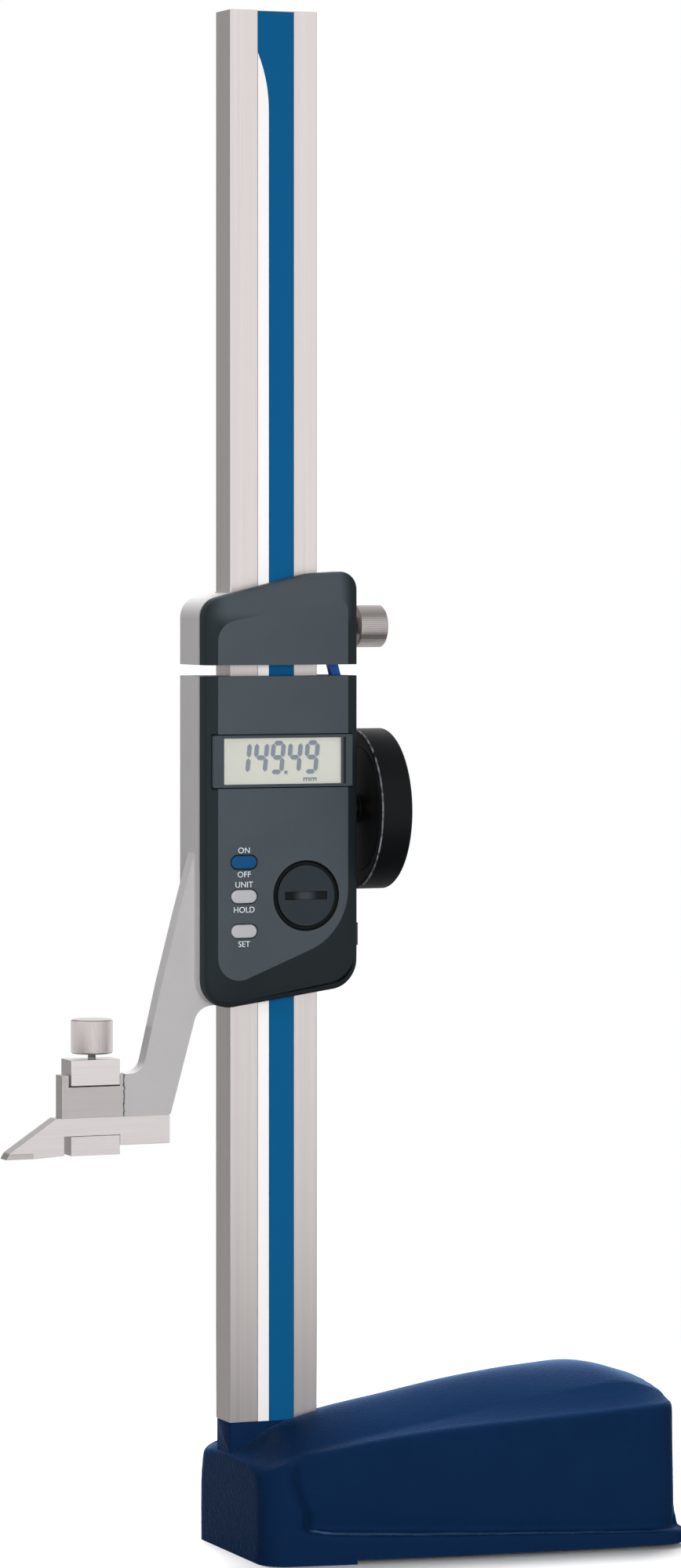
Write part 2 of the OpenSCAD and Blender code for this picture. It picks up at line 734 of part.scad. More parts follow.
module carriage_plate() {
    color("#c4c3bd") at_reading() difference() {
        through(plate_front, body_front) carriage_shape();
        for (p = carriage_fix) bar_y(1.2, p[0], carriage_low + p[1], plate_front - 1, body_front + 1);
    }
}

module clamp_cover() {
    color("#3c444d") at_reading() difference() {
        union() {
            difference() {
                union() {
                    through(cover_edge, plate_front) carriage_shape();
                    hull() {
                        through(cover_edge - eps, cover_edge) carriage_shape();
                        through(panel_face, panel_face + eps) carriage_panel();
                    }
                }
                through(cover_edge, plate_front + 1) carriage_shape(cover_wall);
            }
            for (p = carriage_fix) bar_y(2.5, p[0], carriage_low + p[1], cover_edge - eps, plate_front);
        }
        for (p = carriage_fix) bar_y(0.9, p[0], carriage_low + p[1], cover_edge + 1, plate_front + 1);
    }
}

module clamp_cover_screws() {
    color("#2e3033") at_reading() for (p = carriage_fix) translate([p[0], 0, carriage_low + p[1]]) difference() {
        union() {
            bar_y(2.3, 0, 0, body_back - 2.4, body_back - 0.6);
            bar_y(1.2, 0, 0, plate_front, body_back - 2.4);
            bar_y(0.9, 0, 0, -13.5, plate_front);
        }
        translate([0, body_back - 1.8, 0]) rotate([-90, 0, 0]) cylinder(r = 1.1, h = 2, $fn = 6);
    }
}

module clamp_shoe() {
    color("#b8924a") at_reading()
        bar_x(shoe_r, column_w / 2 + 0.05, column_w / 2 + 0.05 + shoe_len, 0, clamp_h);
}

module clamp_stud() {
    color("#9a9c9f") at_reading() {
        bar_x(clamp_r, column_w / 2 + 0.05 + shoe_len, slider_half + 2.2, 0, clamp_h);
        bar_x(3.6, slider_half + 2.2, 34.9, 0, clamp_h);
    }
}

module clamp_knob() {
    edge = 0.6;
    r = clamp_knob_d / 2;
    color("#c2bfba") at_reading() translate([34.9, 0, clamp_h]) rotate([0, 90, 0]) rotate_extrude($fn = fine)
        polygon([[0, 0], [r - edge, 0], [r, edge], [r, 11.3 - edge], [r - edge, 11.3], [r - 2, 11.3],
            [r - 2.2, 10.9], [0, 10.9]]);
}

// Scriber, its stirrup and screw

module scriber_clamp() {
    color("#c9c6c0") at_reading() difference() {
        block(stirrup_left, stirrup_right, jaw_front, stirrup_back, stirrup_low, stirrup_top);
        block(stirrup_left - 1, stirrup_right + 1, jaw_front - 1, jaw_back + 0.05, 7.7, notch_floor + 0.5);
        translate([stirrup_screw[0], stirrup_screw[1], notch_floor])
            cylinder(r = scriber_screw_r + 0.05, h = 12, $fn = fine);
    }
}

module scriber() {
    color("#cdcac4") at_reading() difference() {
        through(jaw_front, jaw_back - 0.1) outline([[-85, jaw_low - 0.02, 0], [-103.2, 2.4, 0], [tip_x, 0, 0],
            [-94.1, 0, 0], [-81.9, 0.8, 0], [-81.9, 7.8, 0], [-59.9, 7.8, 0], [-59.9, 4, 0], [-40.2, 4, 0.4],
            [-40.2, jaw_low - 0.02, 0.4]], 3);
        block(tip_x - 1, -94.1, jaw_front - 1, jaw_back + 1, -1, 1.9);
    }
}

module carbide_tip() {
    color("#8f8d8a") at_reading() intersection() {
        through(jaw_front, jaw_back - 0.1)
            polygon([[-103.2, 2.4], [tip_x, 0], [-94.1, 0], [-94.1, 2.4]]);
        block(tip_x - 1, -94.1, jaw_front - 1, jaw_back + 1, -1, 1.9);
    }
}

module scriber_screw() {
    color("#9a9c9f") at_reading() translate([stirrup_screw[0], stirrup_screw[1], notch_floor + 0.02])
        cylinder(r = scriber_screw_r, h = 14, $fn = fine);
}

module scriber_knob() {
    edge = 0.6;
    r = scriber_knob_d / 2;
    low = 38.2;
    tall = 12.7;
    color("#c2bfba") at_reading() translate([stirrup_screw[0], stirrup_screw[1], low]) rotate_extrude($fn = fine)
        polygon([[scriber_screw_r, 0], [r - edge, 0], [r, edge], [r, tall - edge], [r - edge, tall], [0, tall],
            [0, notch_floor + 14.02 - low], [scriber_screw_r, notch_floor + 14.02 - low]]);
}

base_casting();
column();
scale_tape();
scale_film();
column_screws();
column_pins();
slider_body();
gib_strip();
gib_screws();
front_plate();
front_plate_screws();
reading_head();
circuit_board();
contact_strips();
key_switches();
display_glass();
slider_cover();
cover_screws();
display_bezel();
display_window();
battery();
battery_contact();
data_connector();
shaft_bushes();
key_on();
key_unit();
key_set();
battery_cover();
data_port_cover();
handwheel();
handwheel_shaft();
drive_pinion();
handwheel_screw();
clamp_body();
carriage_plate();
clamp_cover();
clamp_cover_screws();
link_rack();
link_screw();
carriage_spring();
clamp_shoe();
clamp_stud();
clamp_knob();
scriber_clamp();
scriber();
carbide_tip();
scriber_screw();
scriber_knob();
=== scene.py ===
import math

import bmesh
import bpy
from mathutils import Matrix, Vector


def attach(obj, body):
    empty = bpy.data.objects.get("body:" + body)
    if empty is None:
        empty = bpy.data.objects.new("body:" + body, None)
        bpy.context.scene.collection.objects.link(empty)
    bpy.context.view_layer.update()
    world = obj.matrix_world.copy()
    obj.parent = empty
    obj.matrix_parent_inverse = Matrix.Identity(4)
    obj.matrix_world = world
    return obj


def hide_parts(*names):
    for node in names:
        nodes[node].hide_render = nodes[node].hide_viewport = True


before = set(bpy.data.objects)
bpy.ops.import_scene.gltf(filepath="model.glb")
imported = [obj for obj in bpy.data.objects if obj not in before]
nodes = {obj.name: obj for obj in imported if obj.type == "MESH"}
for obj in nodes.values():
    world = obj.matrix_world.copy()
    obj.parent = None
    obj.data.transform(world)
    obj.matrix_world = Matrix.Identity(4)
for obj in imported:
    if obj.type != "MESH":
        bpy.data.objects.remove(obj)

mm = 0.001
reading = 149.49  # the measuring edge's height at rest, in mm
scene = bpy.context.scene
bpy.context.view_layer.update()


# Small tools for meshes; all sizes in mm until a mesh is made

def newObject(name, data):
    piece = bpy.data.objects.new(name, data)
    scene.collection.objects.link(piece)
    return piece


def meshPiece(name, points, faces):
    mesh = bpy.data.meshes.new(name)
    mesh.from_pydata([(x * mm, y * mm, z * mm) for x, y, z in points], [], faces)
    piece = newObject(name, mesh)
    tidyFaces(piece)
    return piece


def tidyFaces(piece, gap=0.002):
    work = bmesh.new()
    work.from_mesh(piece.data)
    bmesh.ops.remove_doubles(work, verts=work.verts, dist=gap * mm)
    bmesh.ops.recalc_face_normals(work, faces=work.faces)
    work.to_mesh(piece.data)
    work.free()
    piece.data.update()


def settle(piece):
    deps = bpy.context.evaluated_depsgraph_get()
    mesh = bpy.data.meshes.new_from_object(piece.evaluated_get(deps), depsgraph=deps)
    piece.modifiers.clear()
    piece.data = mesh
    return piece


def cut(piece, cutter, operation="DIFFERENCE"):
    tool = piece.modifiers.new("cut", "BOOLEAN")
    tool.operation = operation
    tool.solver = "EXACT"
    tool.use_self = False
    tool.object = cutter
    settle(piece)
    bpy.data.objects.remove(cutter)
    return piece


def joined(name, parts):
    work = bmesh.new()
    for part in parts:
        work.from_mesh(part.data)
    mesh = bpy.data.meshes.new(name)
    work.to_mesh(mesh)
    work.free()
    for part in parts:
        bpy.data.objects.remove(part)
    return newObject(name, mesh)


def smooth(piece, angle):
    for face in piece.data.polygons:
        face.use_smooth = True
    piece.data.set_sharp_from_angle(angle=math.radians(angle))
    return piece


def place(piece, body, slotName, material, *replaced):
    piece.data.materials.clear()
    piece.data.materials.append(material)
    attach(piece, body)
    if replaced:
        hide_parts(*replaced)
    return piece


def looped(rows, closed=True):
    count = len(rows[0])
    faces = []
    for r in range(len(rows) - 1):
        for i in range(count if closed else count - 1):
            j = (i + 1) % count
            faces.append((r * count + i, r * count + j, (r + 1) * count + j, (r + 1) * count + i))
    return [p for row in rows for p in row], faces


def cappedLoft(name, rows):
    points, faces = looped(rows)
    count = len(rows[0])
    faces += [tuple(range(count)), tuple(range(len(points) - count, len(points)))]
    return meshPiece(name, points, faces)


def lathe(name, profile, turns, axis, at):
    points, faces = [], []
    for k in range(turns):
        c, s = math.cos(2 * math.pi * k / turns), math.sin(2 * math.pi * k / turns)
        for r, h in profile:
            spot = {"X": (h, r * c, r * s), "Y": (r * s, h, r * c), "Z": (r * c, r * s, h)}[axis]
            points.append(tuple(a + b for a, b in zip(spot, at)))
    count = len(profile)
    for k in range(turns):
        n = (k + 1) % turns
        for i in range(count - 1):
            faces.append((k * count + i, k * count + i + 1, n * count + i + 1, n * count + i))
    return meshPiece(name, points, faces)


def softened(profile, radius, steps=4):
    out = [profile[0]]
    for a, b, c in zip(profile, profile[1:], profile[2:]):
        a, b, c = Vector(a), Vector(b), Vector(c)
        reach = min(radius, (a - b).length * 0.45, (c - b).length * 0.45)
        start, end = b + (a - b).normalized() * reach, b + (c - b).normalized() * reach
        for i in range(steps + 1):
            t = i / steps
            out.append(tuple(start * (1 - t) ** 2 + b * 2 * t * (1 - t) + end * t * t))
    return out + [profile[-1]]


def roundedPath(corners, steps, closed=True):
    out = []
    count = len(corners)
    for i, (x, z, radius) in enumerate(corners):
        b = Vector((x, z))
        if radius == 0 or (not closed and i in (0, count - 1)):
            out.append((x, z))
            continue
        u = (Vector(corners[i - 1][:2]) - b).normalized()
        v = (Vector(corners[(i + 1) % count][:2]) - b).normalized()
        half = u.angle(v) / 2
        centre = b + (u + v).normalized() * radius / math.sin(half)
        start, end = b + u * radius / math.tan(half), b + v * radius / math.tan(half)
        a0 = math.atan2(*(start - centre).yx)
        a1 = math.atan2(*(end - centre).yx)
        turn = (a1 - a0 + math.pi) % (2 * math.pi) - math.pi
        for k in range(steps + 1):
            a = a0 + turn * k / steps
            out.append((centre.x + radius * math.cos(a), centre.y + radius * math.sin(a)))
    return out


def prism(name, outline, y0, y1, height=0.0):
    rows = [[(x, y, z + height) for x, z in outline] for y in (y0, y1)]
    return cappedLoft(name, rows)


def brick(name, x0, x1, y0, y1, z0, z1):
    return prism(name, [(x0, z0), (x1, z0), (x1, z1), (x0, z1)], y0, y1)


breaking = dict(angle=28, segments=2, weld=0.004, dissolve=1.0, smooth=9)


def edgeBroken(piece, width):
    bevel = piece.modifiers.new("edges", "BEVEL")
    bevel.width = width * mm
    bevel.segments = breaking["segments"]
    bevel.limit_method = "ANGLE"
    bevel.angle_limit = math.radians(breaking["angle"])
    bevel.harden_normals = False
    bevel.use_clamp_overlap = True
    return settle(piece)


def bevelledNode(node, width):
    mesh = nodes[node].data.copy()
    mesh.materials.clear()
    work = bmesh.new()
    work.from_mesh(mesh)
    bmesh.ops.remove_doubles(work, verts=work.verts, dist=breaking["weld"] * mm)
    bmesh.ops.dissolve_limit(work, angle_limit=math.radians(breaking["dissolve"]), verts=work.verts,
                             edges=work.edges)
    work.to_mesh(mesh)
    work.free()
    return smooth(edgeBroken(newObject(node + ".edged", mesh), width), breaking["smooth"])


# Node trees: small tools, then groups for the effects that several materials share

def toneOf(code):
    parts = [int(code[i:i + 2], 16) / 255 for i in (0, 2, 4)]
    return tuple(c / 12.92 if c <= 0.04045 else ((c + 0.055) / 1.055) ** 2.4 for c in parts) + (1.0,)


def startTree(kind, name, inputs, outputs):
    tree = bpy.data.node_groups.new(name, kind)
    for label, sort, value in inputs:
        socket = tree.interface.new_socket(name=label, in_out="INPUT", socket_type="NodeSocket" + sort)
        if value is not None:
            socket.default_value = value
    for label, sort in outputs:
        tree.interface.new_socket(name=label, in_out="OUTPUT", socket_type="NodeSocket" + sort)
    return tree, tree.nodes.new("NodeGroupInput").outputs, tree.nodes.new("NodeGroupOutput")


def feed(tree, node, **inputs):
    for key, value in inputs.items():
        socket = node.inputs[int(key[1:]) if key[0] == "i" and key[1:].isdigit() else key.replace("_", " ")]
        if isinstance(value, bpy.types.NodeSocket):
            tree.links.new(value, socket)
        else:
            socket.default_value = value
    return node


def addNode(tree, kind, settings=None, **inputs):
    made = tree.nodes.new(kind)
    for key, value in (settings or {}).items():
        setattr(made, key, value)
    return feed(tree, made, **inputs)


def useGroup(tree, name, **inputs):
    return addNode(tree, "ShaderNodeGroup", {"node_tree": groups[name]}, **inputs)


def maths(tree, operation, a, b=0.5, c=0.0):
    return addNode(tree, "ShaderNodeMath", {"operation": operation}, i0=a, i1=b, i2=c).outputs[0]


def times(tree, first, *others):
    for other in others:
        first = maths(tree, "MULTIPLY", first, other)
    return first


def vectorMaths(tree, operation, **inputs):
    return addNode(tree, "ShaderNodeVectorMath", {"operation": operation}, **inputs)


def noiseOf(tree, spot, scale, detail, rough=0.5):
    made = addNode(tree, "ShaderNodeTexNoise", Vector=spot, Scale=scale, Detail=detail, Roughness=rough)
    return made.outputs["Fac"]


def mixed(tree, factor, first, second):
    first, second = [toneOf(v) if isinstance(v, str) else v for v in (first, second)]
    made = addNode(tree, "ShaderNodeMix", {"data_type": "RGBA"}, Factor=factor, i6=first, i7=second)
    return made.outputs[2]


def softStep(tree, value, low, high):
    ramp = {"interpolation_type": "SMOOTHSTEP"}
    made = addNode(tree, "ShaderNodeMapRange", ramp, Value=value, From_Min=low, From_Max=high)
    return made.outputs["Result"]


def axes(tree, spot):
    return addNode(tree, "ShaderNodeSeparateXYZ", Vector=spot).outputs


def inMm(tree, spot, rise=0.0):
    scaled = vectorMaths(tree, "MULTIPLY_ADD", i0=spot, i1=[1 / mm] * 3, i2=(0, 0, -rise))
    return axes(tree, scaled.outputs[0])


def above(tree, value, limit):
    return maths(tree, "GREATER_THAN", value, limit)


def under(tree, value, limit):
    return maths(tree, "LESS_THAN", value, limit)


def box(tree, u, v, across, up):
    return times(tree, above(tree, u, across[0]), under(tree, u, across[1]), above(tree, v, up[0]),
                 under(tree, v, up[1]))


def reach(tree, u, v, centre):
    flat = addNode(tree, "ShaderNodeCombineXYZ", X=u, Y=v).outputs[0]
    return vectorMaths(tree, "DISTANCE", i0=flat, i1=(*centre, 0)).outputs["Value"]


def pebbleGroup():
    tree, source, result = startTree("ShaderNodeTree", "pebbleGrain", [
        ("Position", "Vector", (0, 0, 0)), ("Grain Size", "Float", 0.001), ("Blotch Size", "Float", 0.02)],
        [("Height", "Float"), ("Blotch", "Float"), ("Speck", "Float")])
    scales = [maths(tree, "DIVIDE", 1.0, source[size]) for size in ("Grain Size", "Blotch Size")]
    near, far = [vectorMaths(tree, "SCALE", Vector=source["Position"], Scale=v).outputs[0] for v in scales]
    bumps = noiseOf(tree, near, 1.0, 3.0, 0.55)
    cells = addNode(tree, "ShaderNodeTexVoronoi", {"feature": "SMOOTH_F1"}, Vector=near, Scale=0.7)
    height = maths(tree, "MULTIPLY_ADD", cells.outputs["Distance"], 0.6, bumps)
    blotch = noiseOf(tree, far, 1.0, 4.0, 0.6)
    feed(tree, result, Height=height, Blotch=blotch, Speck=above(tree, bumps, 0.64))
    return tree


def brushedGroup():
    tree, source, result = startTree("ShaderNodeTree", "brushedLines", [
        ("Position", "Vector", (0, 0, 0)), ("Lines", "Vector", (900, 900, 12))],
        [("Height", "Float"), ("Shade", "Float")])
    close = vectorMaths(tree, "MULTIPLY", i0=source["Position"], i1=source["Lines"]).outputs[0]
    wide = vectorMaths(tree, "SCALE", Vector=close, Scale=0.22).outputs[0]
    lines = noiseOf(tree, close, 1.0, 4.0, 0.7)
    bands = noiseOf(tree, wide, 1.0, 3.0, 0.6)
    feed(tree, result, Height=lines, Shade=maths(tree, "MULTIPLY_ADD", lines, 0.55, times(tree, bands, 0.45)))
    return tree


def shiftGroup():
    tree, source, result = startTree("ShaderNodeTree", "toneShift", [
        ("Color", "Color", (0.5, 0.5, 0.5, 1)), ("Shade", "Float", 0.5), ("Amount", "Float", 0.1)],
        [("Color", "Color")])
    offset = maths(tree, "MULTIPLY_ADD", source["Shade"], 2.0, -1.0)
    value = maths(tree, "MULTIPLY_ADD", offset, source["Amount"], 1.0)
    shift = addNode(tree, "ShaderNodeHueSaturation", Color=source["Color"], Value=value)
    feed(tree, result, Color=shift.outputs["Color"])
    return tree


groups = {"pebble": pebbleGroup(), "brushed": brushedGroup(), "shift": shiftGroup()}


def startMaterial(name, **settings):
    mat = bpy.data.materials.new(name)
    mat.use_nodes = True
    tree = mat.node_tree
    tree.nodes.clear()
    skin = addNode(tree, "ShaderNodeBsdfPrincipled", **settings)
    addNode(tree, "ShaderNodeOutputMaterial", Surface=skin.outputs["BSDF"])
    return mat, tree, skin, tree.nodes.new("ShaderNodeTexCoord").outputs["Object"]


def shifted(tree, tone, shade, amount):
    return useGroup(tree, "shift", Color=toneOf(tone), Shade=shade, Amount=amount).outputs["Color"]


def finish(tree, skin, color, height, strength, depth):
    bump = addNode(tree, "ShaderNodeBump", Strength=strength, Distance=depth * mm, Height=height)
    feed(tree, skin, Base_Color=color, Normal=bump.outputs["Normal"])


def roughFrom(tree, skin, value, low, high):
    spread = addNode(tree, "ShaderNodeMapRange", Value=value, To_Min=low, To_Max=high)
    feed(tree, skin, Roughness=spread.outputs["Result"])


def pebblesOf(tree, spot, grain, blotch):
    return useGroup(tree, "pebble", Position=spot, Grain_Size=grain * mm, Blotch_Size=blotch * mm).outputs


blotches = dict(painted=18, plain=6)  # size of the cloudy patches, in mm


def paintedMaterial(name, tone, grain, depth, rough, blotch=0.07, strength=0.5, **settings):
    mat, tree, skin, spot = startMaterial(name, **settings)
    pebbles = pebblesOf(tree, spot, grain, blotches["painted"])
    color = shifted(tree, tone, pebbles["Blotch"], blotch)
    roughFrom(tree, skin, pebbles["Height"], rough - 0.06, rough + 0.08)
    finish(tree, skin, color, pebbles["Height"], strength, depth)
    return mat, tree, skin, spot, pebbles, color


def steelMaterial(name, tone, lines, rough, amount):
    mat, tree, skin, spot = startMaterial(name, Metallic=1.0)
    brushed = useGroup(tree, "brushed", Position=spot, Lines=lines).outputs
    roughFrom(tree, skin, brushed["Shade"], rough - 0.05, rough + 0.08)
    finish(tree, skin, shifted(tree, tone, brushed["Shade"], amount), brushed["Height"], 0.35, 0.02)
    return mat


def plainMaterial(name, tone, rough=0.5, grain=0.4, depth=0.01, amount=0.05, **settings):
    mat, tree, skin, spot = startMaterial(name, **settings)
    pebbles = pebblesOf(tree, spot, grain, blotches["plain"])
    roughFrom(tree, skin, pebbles["Blotch"], rough - 0.04, rough + 0.06)
    finish(tree, skin, shifted(tree, tone, pebbles["Blotch"], amount), pebbles["Height"], 0.3, depth)
    return mat


def basePaint():
    mat, tree, skin, spot, _, color = paintedMaterial(
        "basePaint", "0e2748", 0.85, 0.2, 0.42, 0.12, 0.8, Specular_IOR_Level=0.02, Sheen_Weight=0.6,
        Sheen_Roughness=0.2, Sheen_Tint=(0.26, 0.5, 1.0, 1.0))
    bare = under(tree, inMm(tree, spot)["Z"], 0.05)  # the ground pads
    feed(tree, skin, Base_Color=mixed(tree, bare, color, "8f8c88"), Metallic=bare)
    return mat


paintEdge = dict(x=-57.6, ragged=1.6, line=0.3)  # where the casting's paint ends on the jaw


def castingPaint():
    mat, tree, skin, spot, pebbles, color = paintedMaterial(
        "castingPaint", "b4b2b3", 0.5, 0.05, 0.46, 0.05, 0.45)
    brushed = useGroup(tree, "brushed", Position=spot, Lines=(60, 900, 2600)).outputs
    steel = shifted(tree, "d8d2d1", brushed["Shade"], 0.10)
    ragged = noiseOf(tree, spot, 420.0, 4.0)
    edge = maths(tree, "MULTIPLY_ADD", ragged, paintEdge["ragged"], inMm(tree, spot)["X"])
    bare = under(tree, edge, paintEdge["x"])
    line = maths(tree, "COMPARE", edge, paintEdge["x"], paintEdge["line"])
    specked = mixed(tree, times(tree, pebbles["Speck"], 0.18), color, "8b8a8d")
    lined = mixed(tree, times(tree, line, 0.85), mixed(tree, bare, specked, steel), "48484a")
    feed(tree, skin, Base_Color=lined, Metallic=times(tree, bare, 0.9))
    return mat


# Tone masks, in mm, many of them for painted shade and painted highlights: heights count from the measuring
# edge, for the film from the ground

masks = dict(
    panelFace=-16.86, behindFace=-16.8, topEdge=((196, 203), (-30, -21), (29, 23)),
    seat=((9.5, 96.1), 13.35), slots=((-22.5, -8.5), (79, 113)), frameSeat=((-28.3, 28.3), (136.3, 157.2)),
    lidGlow=(5.5, 0.5), lidSlot=-16.75, opening=((-24.35, 24.35), (138.0, 155.5)), openingFace=-16.78,
    # Painted light on the next two lines: shade beside the display opening, a highlight on the display's left
    # edge and a highlight on the handwheel's rim.
    strip=((24.3, 25.3), (137.9, 155.6)), paleEdge=-23.8, wheelCentre=(-0.9, 127.7), wornRim=(29.75, 30.35),
    wornSide=35.1)
film = dict(tip=562.3, taper=22.4, power=2.1, white=4.5, left=-6.45, edges=(-6.34, 7.88))


def coverMaterial():
    mat, tree, skin, spot, pebbles, color = paintedMaterial(
        "coverPlastic", "1c2326", 0.42, 0.05, 0.5, 0.06, 0.4, Specular_IOR_Level=0.2)
    x, y, z = inMm(tree, spot, reading)
    flat = shifted(tree, "444b51", pebbles["Blotch"], 0.08)
    speckled = mixed(tree, times(tree, pebbles["Speck"], 0.3), flat, "5c636a")
    # Painted light: the slopes and side walls get a darker tone than the panel, which is painted shade, and
    # the clamp cover's top slope is lifted back towards the panel's tone, which is painted light from above.
    topEdge = times(tree, *[softStep(tree, v, *span) for v, span in zip((z, x, x), masks["topEdge"])])
    sides = mixed(tree, topEdge, color, "454c52")
    skinTone = mixed(tree, under(tree, y, masks["panelFace"]), sides, speckled)
    # Painted shade: behind the panel's face, the key slots, the battery seat and the bezel's seat are painted
    # near-black, standing in for the shade inside the recesses.
    centre, radius = masks["seat"]
    holes = under(tree, reach(tree, x, z, centre), radius)
    for hole in ("slots", "frameSeat"):
        holes = maths(tree, "MAXIMUM", holes, box(tree, x, z, *masks[hole]))
    deep = times(tree, holes, above(tree, y, masks["behindFace"]))
    feed(tree, skin, Base_Color=mixed(tree, deep, skinTone, "07090a"))
    return mat


def lidMaterial():
    mat, tree, skin, spot, _, color = paintedMaterial("batteryLid", "293035", 0.42, 0.05, 0.5, 0.06, 0.4,
                                                      Specular_IOR_Level=0.2)
    x, y, _ = inMm(tree, spot)
    # Painted shade and highlight: behind the lid's face, the coin slot is painted near-black, with a painted
    # highlight along its middle.
    middle = maths(tree, "ABSOLUTE", maths(tree, "SUBTRACT", x, masks["seat"][0][0]))
    glow = times(tree, softStep(tree, middle, *masks["lidGlow"]), 0.55)
    slotTone = mixed(tree, glow, "080a0b", "4d565d")
    feed(tree, skin, Base_Color=mixed(tree, above(tree, y, masks["lidSlot"]), color, slotTone))
    return mat


def bezelMaterial():
    mat, tree, skin, spot, _, color = paintedMaterial("bezelPlastic", "3d444a", 0.4, 0.04, 0.5, 0.05, 0.4,
                                                      Specular_IOR_Level=0.3)
    x, y, z = inMm(tree, spot, reading)
    # Painted light and shade: in the display opening, the inner walls are painted pale on the left, a painted
    # highlight, and near-black on the right, painted shade; the strip beside the opening's right edge is
    # painted shade.
    deep = times(tree, box(tree, x, z, *masks["opening"]), above(tree, y, masks["openingFace"]))
    wall = mixed(tree, above(tree, x, 0.0), "f2f1ea", "0b0d0e")
    strip = box(tree, x, z, *masks["strip"])
    feed(tree, skin, Base_Color=mixed(tree, strip, mixed(tree, deep, color, wall), "14181a"))
    return mat


def filmMaterial():
    mat, tree, skin, spot = startMaterial("scaleFilm", Roughness=0.45, Specular_IOR_Level=0.05)
    x, _, z = inMm(tree, spot)
    below = maths(tree, "DIVIDE", maths(tree, "SUBTRACT", film["tip"], z), film["taper"])
    left = maths(tree, "SUBTRACT", 1.0, maths(tree, "MINIMUM", maths(tree, "MAXIMUM", below, 0.0), 1.0))
    share = maths(tree, "SUBTRACT", 1.0, maths(tree, "POWER", left, film["power"]))
    white = under(tree, x, maths(tree, "MULTIPLY_ADD", share, film["white"], film["left"]))
    fibre = noiseOf(tree, spot, 160.0, 3.0)
    printed = mixed(tree, white, shifted(tree, "0d5888", fibre, 0.03), "f8f5f3")
    # The dark lines along the film's edges are its joint with the groove, with the groove's shade painted in.
    low, high = film["edges"]
    rim = maths(tree, "MAXIMUM", above(tree, x, high), under(tree, x, low))
    finish(tree, skin, mixed(tree, rim, printed, "4a4f55"), fibre, 0.15, 0.02)
    return mat


def displayMaterial():
    mat, tree, skin, spot = startMaterial("displayGlass", Roughness=0.32, Specular_IOR_Level=0.3)
    shade = shifted(tree, "d3d2c5", noiseOf(tree, spot, 45.0, 2.0), 0.03)
    # Painted highlight: a pale band along the display's left edge.
    paleEdge = under(tree, inMm(tree, spot)["X"], masks["paleEdge"])
    grain = noiseOf(tree, spot, 6000.0, 1.0)
    finish(tree, skin, mixed(tree, paleEdge, shade, "f4f3ea"), grain, 0.1, 0.01)
    return mat


def wheelMaterial():
    mat, tree, skin, spot = startMaterial("wheelBlack", Roughness=0.42, Specular_IOR_Level=0.14)
    mould = noiseOf(tree, spot, 260.0, 3.0)
    x, y, z = inMm(tree, spot, reading)
    away = reach(tree, y, z, masks["wheelCentre"])
    # Painted highlight: a light line along the rim's edge on the side facing the cover, broken up by the
    # mould noise.
    edge = times(tree, above(tree, away, masks["wornRim"][0]), under(tree, away, masks["wornRim"][1]),
                 under(tree, x, masks["wornSide"]), softStep(tree, mould, 0.3, 0.6))
    color = mixed(tree, edge, shifted(tree, "0c0e0f", mould, 0.12), "777a7e")
    finish(tree, skin, color, mould, 0.3, 0.012)
    return mat


def windowMaterial():
    mat, tree, skin, spot = startMaterial("clearWindow", Roughness=0.04, Alpha=0.10)
    smear = noiseOf(tree, spot, 60.0, 2.0)
    finish(tree, skin, shifted(tree, "e8eeee", smear, 0.02), smear, 0.05, 0.02)
    return mat


# Name, tone, lines per m along each axis, roughness, strength of the shade

steels = {
    "column": ("groundColumn", "e6dfdd", (1500, 1500, 9), 0.33, 0.2),
    "scriber": ("groundScriber", "ece6e5", (30, 1500, 1700), 0.32, 0.16),
    "knob": ("satinKnob", "e2dbd9", (1200, 1200, 40), 0.3, 0.22),
    "knobSide": ("satinSideKnob", "cac3c1", (40, 1200, 1200), 0.3, 0.22),
    "hardware": ("brightHardware", "b4b6b9", (300, 300, 300), 0.3, 0.10),
    "carbide": ("groundCarbide", "cfc7c5", (1500, 1500, 1500), 0.3, 0.12),
    "cell": ("cellCan", "c9c9cb", (200, 900, 200), 0.28, 0.08),
    "brass": ("turnedBrass", "c59b5a", (1200, 300, 300), 0.32, 0.12),
    "bronze": ("springBronze", "c7a56a", (300, 900, 300), 0.34, 0.10),
    "plate": ("stampedPlate", "c2c1bd", (60, 60, 900), 0.4, 0.12),
    "darkScrew": ("blackScrew", "34353a", (400, 400, 400), 0.42, 0.15),
}

# Name, tone, roughness, grain, depth of the grain, strength of the shade

plains = {
    "keyBlue": ("blueKey", "184a77", 0.45, 0.3), "keyGrey": ("greyKey", "b0b0b5", 0.45, 0.3),
    "board": ("boardMask", "2a6a3a", 0.4, 1.5, 0.03, 0.15), "black": ("mouldedBlack", "202225", 0.5, 0.4),
    "rubber": ("contactRubber", "bbb6ae", 0.6, 0.5), "digit": ("digitInk", "55647a", 0.4, 0.3, 0.002, 0.06),
    "digitShade": ("digitShadow", "b2b3aa", 0.5, 0.3, 0.002, 0.03),
    "legend": ("legendInk", "d9dcdf", 0.5, 0.3, 0.002, 0.03),
}
shine = {"keyBlue": {"Specular_IOR_Level": 0.1}, "keyGrey": {"Specular_IOR_Level": 0.2}}
looks = {
    "basePaint": basePaint(), "castingPaint": castingPaint(), "cover": coverMaterial(),
    "film": filmMaterial(), "display": displayMaterial(), "window": windowMaterial(), "lid": lidMaterial(),
    "bezel": bezelMaterial(), "wheel": wheelMaterial(),
    "portCover": paintedMaterial("portPlastic", "2a2f33", 0.4, 0.04, 0.5, 0.05, 0.4)[0],
    "linkBlue": paintedMaterial("linkPaint", "104a9c", 0.6, 0.06, 0.4)[0],
}
looks.update({key: steelMaterial(*row) for key, row in steels.items()})
looks.update({key: plainMaterial(*row, **shine.get(key, {})) for key, row in plains.items()})
print("materials:", len(looks))


# Base casting: sections along the base, fused with the boss and softened like a casting

